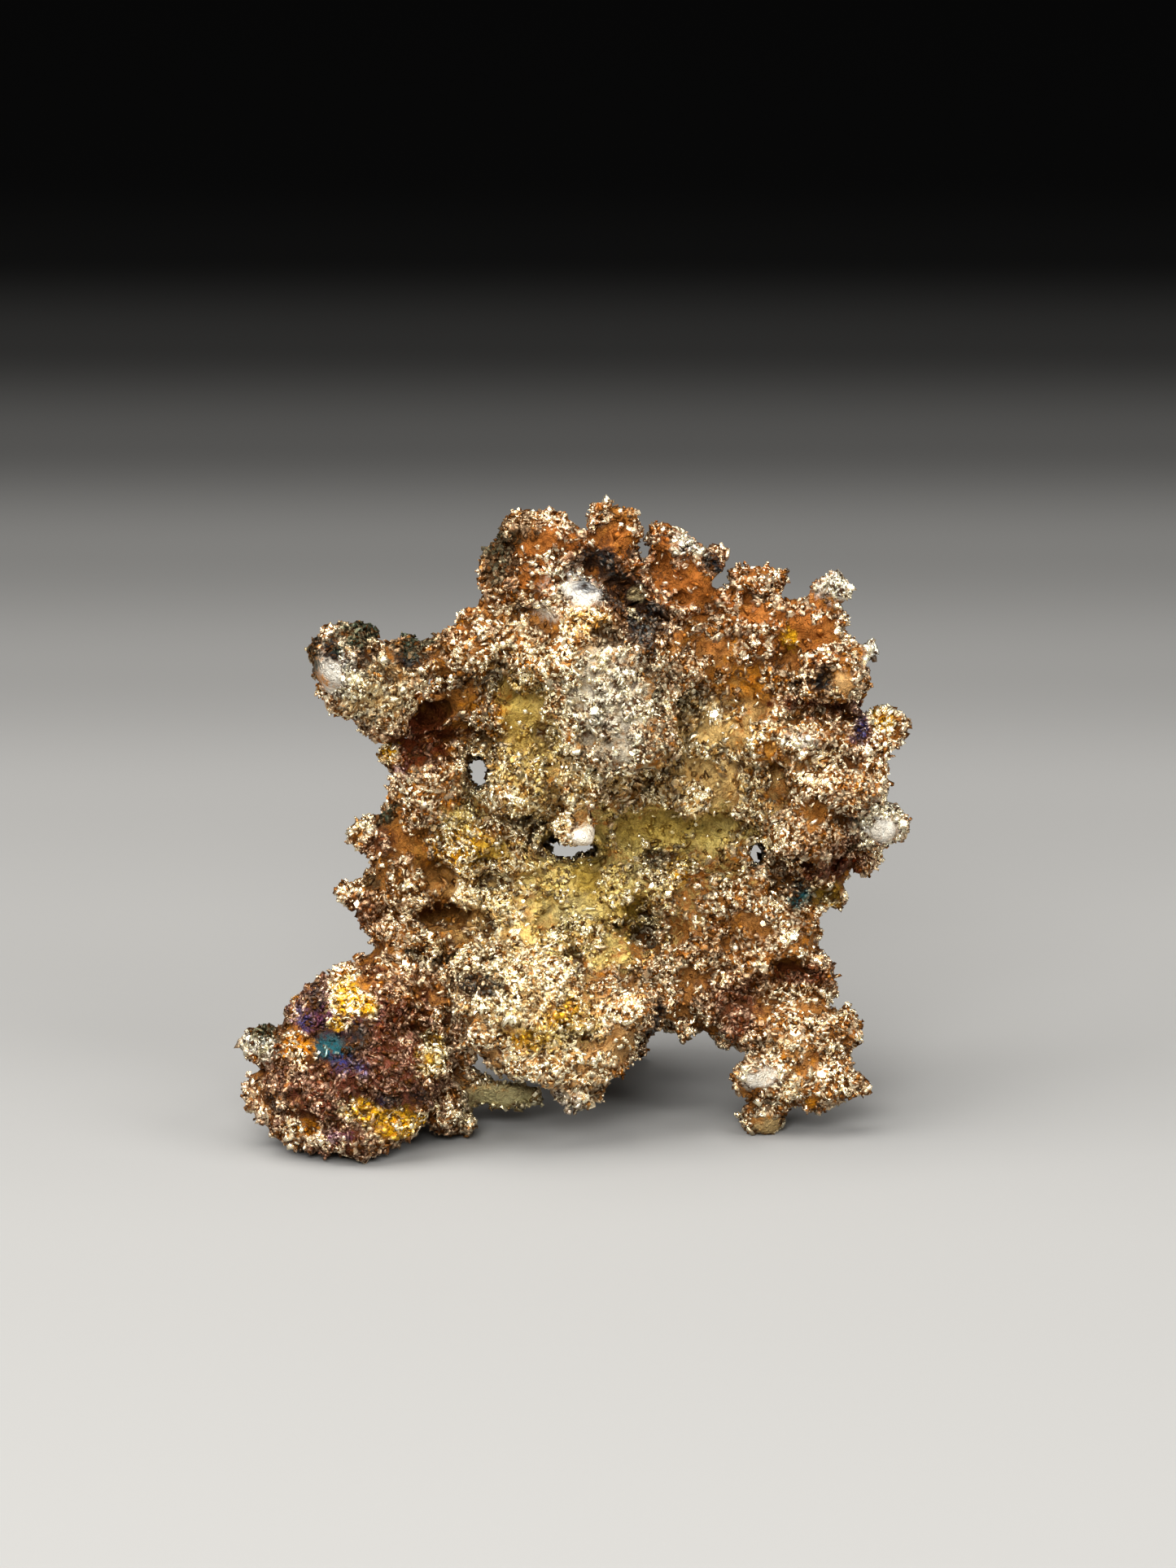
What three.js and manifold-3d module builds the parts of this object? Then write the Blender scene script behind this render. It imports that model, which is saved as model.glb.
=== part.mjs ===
// A native silver nugget: one spongy, star-shaped lump of metal standing on three feet.
// Millimetres, +Z up. The open bowl of the nugget faces -Y and the right side is +X.
import * as THREE from "three";
import { ImprovedNoise } from "three/addons/math/ImprovedNoise.js";
import { mergeVertices } from "three/addons/utils/BufferGeometryUtils.js";
import Module from "manifold-3d";

const wasm = await Module();
wasm.setup();

// The bowl leans back, so its lumps are placed on a plane that leans back by the same angle.
const LEAN = THREE.MathUtils.degToRad(17);
const GROUND_ABOVE_PLANE = 1.55; // height of the ground over the foot of the leaning plane

// How the metal is shaped.
const FACET = 0.85; // usual edge of a face on a large lump before the faces are thinned
const MOST_DETAIL = 4; // subdivisions of the largest lumps
const BLEND_ROUNDS = 4; // how often the creases between joined lumps are softened
const BLEND_IN = 0.55; // share of the way that each corner moves toward its neighbours
const BLEND_OUT = -0.5; // the push back that keeps the lumps their size
const FACE_COUNT = 9600; // faces kept when the joined metal is thinned
const LEAST_ALIGNMENT = 0.3; // how far a face may turn when an edge beside it closes, as a cosine
const SHARE_PER_PASS = 0.12; // part of the edges closed before their costs are worked out again
const ROUGHNESS = 0.2; // share of a lump's radius that swells or shrinks
const SWELL_LENGTH = 2.3; // distance between one swelling and the next
const FINE_SWELL_LENGTH = 0.95;
const FINE_SHARE = 0.35; // strength of the fine swellings beside the broad ones
const RUGGED_HEIGHT = 0.3; // how far the blended surface is raised and sunk

// Knobs, crystals and pits scattered over the metal: their radii, and how far apart they keep.
const SEED = 41;
const KNOB_COUNT = 150;
const KNOB_SMALLEST = 0.55;
const KNOB_LARGEST = 1.05;
const KNOB_SPACING = 1.6;
const KNOB_SINK = 0.5; // share of its radius that a knob sits below the surface
const CRYSTAL_COUNT = 130;
const CRYSTAL_SMALLEST = 0.5;
const CRYSTAL_LARGEST = 0.85;
const CRYSTAL_SPACING = 1.7;
const CRYSTAL_SINK = 0.3;
const CUBE_SHARE = 0.4; // share of the crystals that are cubes, the others being octahedra
const PIT_COUNT = 80;
const PIT_SMALLEST = 0.45;
const PIT_LARGEST = 0.85;
const PIT_SPACING = 2.2;
const SCATTER_TRIES = 4000;
const BARE_FOOT_HEIGHT = 2.4; // the feet have no scattered shapes below this height

const MERGE_DISTANCE = 1e-4;
const SOLE_CUT = 0.35; // how much is cut off the lowest foot to give all three a flat sole
const CUT_DEPTH = 6; // thickness of the slab cut away under the feet
const CUT_WIDTH = 60;

const SILVER_COLOUR = "#a8826b";
const SILVER_ROUGHNESS = 0.35;
const SILVER_METALNESS = 0.95;

// Every row below is one lump or hollow: across, up and depth of its centre, then half its width,
// half its depth and half its height, and a turn in degrees in the plane of the bowl if it has one.

// The five mushroom-headed lobes along the top, left to right, and what joins them.
const CROWN = [
  [-1.6, 27.8, 0.5, 2.3, 2.2, 2.3, 20], // big left lobe
  [-3.1, 26.6, 0.2, 1.5, 1.8, 1.6], // its shoulder
  [-1.1, 29.4, 0.6, 1.1, 1.0, 0.7], // its cap
  [1.8, 29.0, 1.2, 1.1, 1.2, 1.2], // second lobe
  [2.0, 29.7, 1.2, 1.0, 0.9, 0.55], // its cap
  [2.6, 28.9, 1.0, 0.8, 1.0, 0.7],
  [1.9, 27.9, 1.2, 1.9, 1.4, 1.1],
  [0.5, 27.9, 0.9, 1.4, 1.5, 1.2], // saddle between the first two
  [4.8, 28.2, 1.6, 1.2, 1.3, 1.0], // third lobe
  [6.0, 27.5, 1.5, 1.4, 1.3, 1.0],
  [5.3, 26.5, 1.4, 1.8, 1.6, 1.3],
  [8.8, 26.6, 1.6, 1.5, 1.2, 0.8], // fourth lobe
  [8.8, 25.2, 1.4, 1.9, 1.6, 1.2],
  [12.0, 26.1, 1.2, 1.2, 1.1, 0.8], // fifth lobe
  [11.5, 25.0, 1.2, 1.7, 1.5, 1.2],
  [12.3, 24.1, 0.8, 0.9, 1.2, 0.8],
  [13.5, 23.1, 0.2, 0.8, 0.9, 0.7], // small tip at the right end
  [14.1, 23.6, 0.2, 0.6, 0.7, 0.6],
  [3.0, 25.8, 1.5, 3.6, 2.4, 2.2], // what joins them
  [7.6, 24.3, 2.0, 4.4, 2.3, 2.0],
  [-0.6, 26.4, 0.6, 2.6, 2.2, 2.0],
];

// The stacked plates and knobs down the right side.
const RIGHT_SIDE = [
  [12.1, 22.4, -0.8, 1.85, 1.8, 1.55], // pitted lump at the shoulder
  [12.4, 19.3, -1.0, 2.6, 2.2, 1.1], // upper plate
  [14.7, 19.6, -0.6, 0.65, 0.9, 0.75],
  [14.3, 20.4, -0.2, 0.6, 0.7, 0.5],
  [12.4, 17.2, -1.3, 2.6, 2.5, 1.9], // middle plate
  [14.3, 15.3, -1.4, 1.45, 1.5, 1.15], // smooth pale lump
  [11.3, 15.0, -1.4, 2.2, 2.3, 1.8],
  [11.4, 13.6, -0.8, 1.4, 1.6, 1.2],
  [13.6, 13.7, 0.0, 0.85, 1.0, 0.6], // small hanging lumps
  [12.3, 12.6, 0.0, 0.8, 0.9, 0.9],
  [12.5, 11.9, 0.0, 0.5, 0.6, 0.5],
  [11.4, 12.0, 0.0, 0.8, 1.0, 0.8],
  [11.6, 20.6, 1.6, 2.3, 1.6, 1.6], // wall behind the crevice
];

// The sloping shelf under the crown.
const SHELF = [
  [7.0, 23.0, 2.5, 3.0, 2.5, 2.5],
  [9.4, 21.8, 1.5, 2.2, 2.2, 2.0],
  [7.4, 19.3, 1.9, 2.8, 2.2, 2.6],
  [8.9, 17.0, 1.5, 2.6, 2.3, 2.4],
  [5.8, 17.0, 1.7, 2.6, 2.2, 2.0],
  [9.6, 19.6, 0.8, 2.4, 2.2, 2.2],
];

// The overhanging nose in the middle, with the tongue that drops from it.
const NOSE = [
  [0.6, 26.2, -0.8, 1.6, 1.6, 1.2],
  [1.1, 24.6, -1.8, 2.4, 2.2, 1.8, -20],
  [1.7, 22.6, -2.7, 3.3, 2.6, 2.3, -15],
  [2.2, 20.7, -3.4, 3.2, 2.6, 2.3],
  [2.6, 19.2, -3.9, 2.7, 2.2, 1.6],
  [5.2, 22.5, -1.4, 1.6, 1.6, 1.0],
  [-1.6, 22.9, -0.8, 1.7, 1.9, 1.9],
  [0.5, 17.0, -2.4, 1.0, 1.3, 1.4], // tongue
  [0.4, 16.1, -3.0, 0.85, 0.9, 1.0],
  [0.3, 15.1, -3.3, 0.95, 0.8, 0.7],
  [0.8, 21.0, 0.8, 3.4, 2.4, 3.0],
  [-3.0, 24.4, 0.5, 2.2, 2.2, 2.0], // slope left of the nose
  [-2.2, 20.9, 0.7, 1.7, 1.8, 2.2],
  [-2.3, 17.6, -0.4, 1.9, 2.2, 2.2],
  [-0.4, 18.6, 0.2, 1.5, 1.6, 1.9],
];

// The arm that reaches out to the upper left and ends in a knob.
const LEFT_ARM = [
  [-5.2, 23.5, 0.0, 1.9, 2.0, 1.6],
  [-5.3, 24.7, 0.0, 0.75, 0.9, 0.5],
  [-7.6, 22.9, -0.8, 1.7, 1.8, 1.45],
  [-10.3, 22.7, -1.5, 1.8, 1.9, 2.1], // knob
  [-9.4, 21.3, -1.2, 1.9, 1.6, 1.4],
  [-8.8, 20.1, -0.6, 1.5, 1.4, 1.0],
  [-8.4, 18.3, 0.1, 0.75, 1.0, 1.1],
  [-5.3, 20.2, 2.9, 2.7, 1.6, 2.4], // wall of the recess under the arm
];

// The narrow waist down the left side.
const LEFT_SIDE = [
  [-6.5, 17.6, -0.2, 1.8, 1.9, 1.7],
  [-6.6, 15.9, 0.0, 2.0, 1.8, 1.4],
  [-9.8, 14.7, 0.0, 1.0, 1.0, 0.85], // knob
  [-7.9, 14.2, 0.0, 1.9, 1.9, 1.5],
  [-4.6, 14.4, 0.4, 2.3, 2.0, 1.7],
  [-2.7, 14.0, 0.6, 1.5, 1.8, 1.3],
  [-1.1, 14.3, 2.4, 0.7, 0.9, 0.4],
  [-9.9, 11.7, 0.0, 1.3, 1.3, 1.1],
  [-8.1, 12.2, 0.0, 2.0, 1.8, 1.6],
  [-5.6, 12.4, 1.2, 2.0, 1.8, 1.5],
  [-5.8, 11.0, 2.6, 2.4, 1.6, 1.8],
  [-10.4, 10.0, 0.0, 0.4, 0.5, 0.9], // thin strand beside a small hole
  [-8.0, 10.0, -0.6, 2.1, 1.9, 1.4],
];

// The floor of the bowl and the slope below it on the right.
const BOWL = [
  [-0.5, 12.1, 1.2, 2.4, 2.2, 1.6],
  [-2.7, 11.3, 0.6, 2.2, 2.0, 1.6],
  [0.4, 10.4, -0.5, 1.6, 2.0, 1.5],
  [5.0, 12.0, 1.2, 2.4, 2.4, 1.7],
  [7.8, 11.8, 0.6, 2.6, 2.4, 1.8],
  [10.2, 11.2, 0.4, 1.7, 2.0, 1.4],
  [6.0, 9.5, 0.2, 2.5, 2.4, 2.0],
  [9.5, 9.1, -0.2, 3.0, 2.5, 2.1],
  [7.0, 7.2, 0.2, 2.6, 2.3, 1.7],
  [10.4, 7.4, -0.6, 2.2, 2.1, 1.4],
  [3.4, 7.4, -1.0, 2.0, 2.4, 1.9],
  [2.8, 12.2, 0.4, 2.2, 2.2, 1.6],
  [5.3, 6.2, 0.6, 1.5, 1.8, 1.0], // top of the arch beside the right foot
  [4.5, 14.6, 4.2, 4.2, 1.8, 2.0],
];

// The rounded bulge that comes furthest forward, with its drop and its ear.
const BULGE = [
  [-2.0, 6.9, -5.0, 3.9, 3.6, 2.3],
  [-1.0, 4.8, -5.2, 3.2, 3.0, 1.9],
  [1.6, 6.3, -4.4, 2.1, 2.6, 1.9],
  [3.4, 5.7, -4.2, 0.9, 1.2, 1.0], // ear
  [1.9, 4.4, -4.0, 1.3, 1.6, 0.9],
  [0.1, 2.9, -5.5, 1.25, 1.4, 1.3], // drop
  [1.1, 2.8, -5.2, 0.7, 0.9, 0.8],
  [-1.6, 1.9, -5.3, 0.45, 0.5, 0.8],
  [-4.8, 8.2, -4.4, 1.4, 1.6, 0.8],
  [-2.6, 8.8, -1.6, 3.0, 3.0, 1.6],
  [1.2, 8.4, -1.0, 2.4, 2.6, 1.8],
  [-1.0, 5.9, -0.5, 3.2, 3.2, 1.8],
  [2.2, 3.3, -1.6, 0.7, 0.8, 0.9],
  [-3.4, 2.6, -3.4, 2.6, 0.85, 0.85], // smooth rod from the drop to the left foot
];

// The large left foot.
const LEFT_FOOT = [
  [-9.8, 3.4, -5.4, 4.3, 3.6, 2.8],
  [-12.6, 2.9, -5.6, 2.4, 2.8, 2.4],
  [-10.2, 6.2, -3.8, 3.2, 2.8, 2.0],
  [-8.8, 8.0, -1.9, 2.6, 2.3, 1.5],
  [-12.4, 6.1, -4.0, 1.5, 1.8, 1.2],
  [-14.5, 5.0, -5.0, 1.1, 1.15, 1.15], // silvery knob on its outer side
  [-14.6, 2.4, -5.4, 0.85, 1.2, 1.1],
  [-6.1, 2.1, -5.0, 1.5, 1.6, 1.4],
  [-5.0, 1.2, -4.6, 0.8, 0.9, 0.8],
  [-10.6, 1.2, -6.2, 3.3, 2.8, 1.3], // sole
  [-6.6, 5.2, -2.8, 2.4, 2.4, 2.4], // neck behind the groove
];

// The right foot, with the smooth facet on its front.
const RIGHT_FOOT = [
  [9.8, 5.6, -2.2, 2.5, 2.4, 1.4],
  [12.5, 5.5, -2.4, 1.4, 1.5, 1.2],
  [10.9, 3.3, -3.2, 2.6, 2.5, 1.7],
  [8.7, 3.4, -4.2, 1.2, 1.6, 1.25],
  [9.2, 1.5, -3.4, 1.15, 1.3, 1.3], // toe
  [7.9, 5.9, -0.6, 1.4, 1.7, 1.3],
];

// The rounded back, in upright places: across, height and depth.
const BACK = [
  [1.5, 17.0, 4.0, 7.5, 3.6, 7.5],
  [3.0, 21.0, 4.2, 6.2, 3.4, 4.0],
  [9.5, 19.0, 3.0, 4.0, 3.0, 4.4],
  [9.0, 11.5, 3.2, 3.6, 3.2, 4.4],
  [-4.8, 14.0, 3.6, 4.2, 3.2, 5.2],
  [-3.0, 20.0, 3.6, 3.6, 3.0, 4.2],
  [-6.4, 9.2, 2.0, 3.4, 3.4, 3.2],
  [1.5, 9.5, 4.6, 6.0, 3.8, 4.6],
  [4.0, 13.5, 6.4, 2.6, 1.8, 2.8],
  [-1.5, 18.5, 6.4, 2.8, 1.7, 2.6],
  [-4.0, 10.5, 5.8, 2.4, 1.9, 2.2],
  [7.4, 16.0, 5.6, 2.2, 1.7, 2.2],
  [3.6, 22.5, 6.4, 2.2, 1.5, 1.7],
  [1.0, 5.0, 5.6, 3.2, 2.6, 3.0], // rear foot
  [1.3, 1.9, 6.2, 2.2, 2.0, 2.2],
];

// Hollows cut into the front.
const HOLLOWS = [
  [4.5, 14.6, -0.6, 3.2, 2.8, 1.3], // mouth of the bowl under the nose
  [3.4, 10.3, -1.4, 0.9, 2.6, 1.7, -20], // crevice below it
  [-6.4, 20.0, -0.2, 1.5, 2.6, 1.2], // recess under the arm
  [-3.8, 20.6, -1.2, 0.6, 1.8, 1.1],
  [-6.0, 10.9, -1.0, 1.6, 2.4, 0.8], // shadowed hollow over the left foot
  [2.6, 26.0, -1.6, 0.5, 1.8, 1.7, -38], // crevice right of the nose
  [12.0, 20.6, -2.4, 2.4, 2.2, 0.35, 8], // crevice under the shoulder lump
  [8.6, 25.9, 0.0, 1.5, 0.9, 0.25], // crevice under the fourth cap
  [10.8, 8.3, -2.6, 1.8, 1.1, 0.25],
  [-5.3, 4.6, -7.0, 0.5, 2.6, 2.0, 12], // groove between the left foot and the bulge
];

// Holes that go right through, along the lean of the bowl.
const HOLES = [
  [-4.5, 17.7, 0.0, 0.42, 14, 0.85, -12],
  [0.0, 14.1, 2.0, 1.2, 14, 0.6],
  [8.8, 13.9, 0.0, 0.35, 14, 0.55],
  [-6.7, 20.6, 0.0, 0.28, 14, 0.45],
  [2.7, 27.4, 0.0, 0.35, 8, 0.25],
  [-9.8, 9.8, 0.0, 0.35, 8, 0.35],
  [0.4, 29.9, 1.0, 0.2, 8, 0.9], // slit between the first and second lobes
  [3.5, 28.1, 1.4, 0.24, 8, 1.1], // between the second and third
  [7.0, 26.8, 1.4, 0.24, 8, 1.0, 28], // between the third and fourth
  [10.4, 26.7, 1.3, 0.28, 8, 0.65], // between the fourth and fifth
];

// A row's centre, standing upright.
function leaningPlace([across, up, depth]) {
  const height = (up - depth * Math.sin(LEAN)) / Math.cos(LEAN) - GROUND_ABOVE_PLANE;
  return new THREE.Vector3(across, depth, height);
}

function uprightPlace([across, height, depth]) {
  return new THREE.Vector3(across, depth, height);
}

// A lump's centre, its half sizes and its turn, from its row.
function lumpFromRow(row, place) {
  const [, , , halfWidth, halfDepth, halfHeight, turn = 0] = row;
  return {
    centre: place(row),
    half: new THREE.Vector3(halfWidth, halfDepth, halfHeight),
    turn: THREE.MathUtils.degToRad(turn),
  };
}

// A closed geometry as a solid that can be joined and cut.
function solid(geometry) {
  geometry.deleteAttribute("normal");
  geometry.deleteAttribute("uv");
  const merged = mergeVertices(geometry, MERGE_DISTANCE);
  const mesh = new wasm.Mesh({
    numProp: 3,
    vertProperties: new Float32Array(merged.attributes.position.array),
    triVerts: new Uint32Array(merged.index.array),
  });
  return new wasm.Manifold(mesh);
}

const noise = new ImprovedNoise();

// Broad and fine swelling of the metal at a place, about -1 to 1.
function swelling(point) {
  const broad = point.clone().divideScalar(SWELL_LENGTH);
  const fine = point.clone().divideScalar(FINE_SWELL_LENGTH);
  return noise.noise(broad.x, broad.y, broad.z) + FINE_SHARE * noise.noise(fine.x, fine.y, fine.z);
}

// Moves each corner of a lump in or out from its centre.
function roughen(geometry, centre) {
  const corners = geometry.attributes.position;
  const corner = new THREE.Vector3();
  for (let i = 0; i < corners.count; i += 1) {
    corner.fromBufferAttribute(corners, i);
    const swell = 1 + ROUGHNESS * swelling(corner);
    corner.sub(centre).multiplyScalar(swell).add(centre);
    corners.setXYZ(i, corner.x, corner.y, corner.z);
  }
}

// A rounded lump with flat faces, finer where it is larger.
function lumpSolid({ centre, half, turn }) {
  const size = Math.cbrt(half.x * half.y * half.z);
  const detail = THREE.MathUtils.clamp(Math.round(size / FACET - 0.5), 1, MOST_DETAIL);
  const geometry = new THREE.IcosahedronGeometry(1, detail);
  geometry.scale(half.x, half.y, half.z);
  geometry.rotateY(turn);
  geometry.translate(centre.x, centre.y, centre.z);
  roughen(geometry, centre);
  return solid(geometry);
}

// A long narrow hole that follows the lean of the bowl.
function holeSolid({ centre, half, turn }) {
  const geometry = new THREE.IcosahedronGeometry(1, 1);
  geometry.scale(half.x, half.y, half.z);
  geometry.rotateY(turn);
  geometry.rotateX(-LEAN);
  geometry.translate(centre.x, centre.y, centre.z);
  return solid(geometry);
}

// The faces of a mesh that hang together with its largest shell, so no sealed bubble stays inside.
function outerShell(mesh) {
  const cornerCount = mesh.vertProperties.length / 3;
  const faceCount = mesh.triVerts.length / 3;
  const leader = Array.from({ length: cornerCount }, (_, corner) => corner);
  const leaderOf = (corner) => {
    let found = corner;
    while (leader[found] !== found) {
      leader[found] = leader[leader[found]];
      found = leader[found];
    }
    return found;
  };
  for (let face = 0; face < faceCount; face += 1) {
    const first = leaderOf(mesh.triVerts[3 * face]);
    leader[leaderOf(mesh.triVerts[3 * face + 1])] = first;
    leader[leaderOf(mesh.triVerts[3 * face + 2])] = first;
  }
  const shells = new Map();
  for (let face = 0; face < faceCount; face += 1) {
    const shell = leaderOf(mesh.triVerts[3 * face]);
    if (!shells.has(shell)) {
      shells.set(shell, []);
    }
    shells.get(shell).push(...mesh.triVerts.slice(3 * face, 3 * face + 3));
  }
  return [...shells.values()].sort((a, b) => b.length - a.length)[0];
}

// The way out of the metal at each corner.
function outwardWays(corners, faceCorners) {
  const geometry = new THREE.BufferGeometry().setFromPoints(corners);
  geometry.setIndex(faceCorners);
  geometry.computeVertexNormals();
  return corners.map((_, i) => new THREE.Vector3().fromBufferAttribute(geometry.attributes.normal, i));
}

// The corners of a solid's largest shell, its faces as corner numbers and the way out at each corner.
function surfaceOf(whole) {
  const mesh = whole.getMesh();
  const shellCorners = outerShell(mesh);
  const numbers = new Map();
  const corners = [];
  const faceCorners = shellCorners.map((corner) => {
    if (!numbers.has(corner)) {
      numbers.set(corner, corners.length);
      corners.push(new THREE.Vector3().fromArray(mesh.vertProperties, 3 * corner));
    }
    return numbers.get(corner);
  });
  return { corners, faceCorners, normals: outwardWays(corners, faceCorners) };
}

// Corners of a solid above the feet, picked at random, no two closer than the spacing, each with
// its way out.
function scatterPlaces(whole, count, spacing) {
  const { corners, normals } = surfaceOf(whole);
  const places = [];
  for (let tries = 0; tries < SCATTER_TRIES && places.length < count; tries += 1) {
    const picked = Math.floor(THREE.MathUtils.seededRandom() * corners.length);
    const isCrowded = places.some(({ point }) => point.distanceTo(corners[picked]) < spacing);
    if (!isCrowded && corners[picked].z > BARE_FOOT_HEIGHT) {
      places.push({ point: corners[picked], outward: normals[picked] });
    }
  }
  return places;
}

// A radius picked at random between two.
function randomRadius(smallest, largest) {
  return THREE.MathUtils.lerp(smallest, largest, THREE.MathUtils.seededRandom());
}

// A small shape turned any way and sunk a share of its radius below a place on the metal.
function seatedSolid(geometry, { point, outward }, radius, sink) {
  geometry.rotateX(Math.PI * THREE.MathUtils.seededRandom());
  geometry.rotateZ(Math.PI * THREE.MathUtils.seededRandom());
  const centre = point.clone().addScaledVector(outward, -sink * radius);
  geometry.translate(centre.x, centre.y, centre.z);
  return solid(geometry);
}

function knobSolid(place) {
  const radius = randomRadius(KNOB_SMALLEST, KNOB_LARGEST);
  return seatedSolid(new THREE.IcosahedronGeometry(radius, 1), place, radius, KNOB_SINK);
}

function crystalSolid(place) {
  const radius = randomRadius(CRYSTAL_SMALLEST, CRYSTAL_LARGEST);
  const side = (2 * radius) / Math.sqrt(3);
  const isCube = THREE.MathUtils.seededRandom() < CUBE_SHARE;
  const geometry = isCube ? new THREE.BoxGeometry(side, side, side) : new THREE.OctahedronGeometry(radius);
  return seatedSolid(geometry, place, radius, CRYSTAL_SINK);
}

function pitSolid(place) {
  const radius = randomRadius(PIT_SMALLEST, PIT_LARGEST);
  return seatedSolid(new THREE.IcosahedronGeometry(radius, 0), place, radius, 0);
}

function joinAll(solids) {
  return solids.reduce((whole, piece) => whole.add(piece));
}

// The slab cut off under the feet so that they stand flat.
function groundSlab() {
  const geometry = new THREE.BoxGeometry(CUT_WIDTH, CUT_WIDTH, CUT_DEPTH);
  geometry.translate(0, 0, SOLE_CUT - CUT_DEPTH / 2);
  return solid(geometry);
}

// The corners joined to each corner by an edge.
function neighbourLists(cornerCount, faceCorners) {
  const lists = Array.from({ length: cornerCount }, () => new Set());
  for (let i = 0; i < faceCorners.length; i += 3) {
    const face = faceCorners.slice(i, i + 3);
    face.forEach((corner, k) => {
      lists[corner].add(face[(k + 1) % 3]);
      lists[corner].add(face[(k + 2) % 3]);
    });
  }
  return lists;
}

// Moves every corner a share of the way to the middle of its neighbours.
function moveToNeighbours(corners, neighbours, share) {
  const middles = corners.map((corner, i) => {
    const middle = new THREE.Vector3();
    neighbours[i].forEach((other) => middle.add(corners[other]));
    return neighbours[i].size > 0 ? middle.divideScalar(neighbours[i].size) : corner.clone();
  });
  corners.forEach((corner, i) => corner.lerp(middles[i], share));
}

// Joined lumps with their creases softened into one skin, and that skin made rugged.
function blended(whole) {
  const { corners, faceCorners } = surfaceOf(whole);
  const neighbours = neighbourLists(corners.length, faceCorners);
  for (let round = 0; round < BLEND_ROUNDS; round += 1) {
    moveToNeighbours(corners, neighbours, BLEND_IN);
    moveToNeighbours(corners, neighbours, BLEND_OUT);
  }
  const normals = outwardWays(corners, faceCorners);
  corners.forEach((corner, i) => corner.addScaledVector(normals[i], RUGGED_HEIGHT * swelling(corner)));
  const geometry = new THREE.BufferGeometry().setFromPoints(corners);
  geometry.setIndex(faceCorners);
  return solid(geometry.toNonIndexed());
}

// The weighted squares of the distances from a place to the planes of some faces.
class PlaneSum {
  constructor() {
    this.terms = new Array(10).fill(0);
  }

  addPlane({ normal, constant }, weight) {
    const plane = [normal.x, normal.y, normal.z, constant];
    let term = 0;
    for (let row = 0; row < plane.length; row += 1) {
      for (let column = row; column < plane.length; column += 1) {
        this.terms[term] += weight * plane[row] * plane[column] * (row === column ? 1 : 2);
        term += 1;
      }
    }
  }

  addSum(other) {
    this.terms.forEach((value, term) => {
      this.terms[term] = value + other.terms[term];
    });
  }

  at({ x, y, z }) {
    const [xx, xy, xz, x1, yy, yz, y1, zz, z1, one] = this.terms;
    return x * (xx * x + xy * y + xz * z + x1) + y * (yy * y + yz * z + y1) + z * (zz * z + z1) + one;
  }
}

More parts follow.
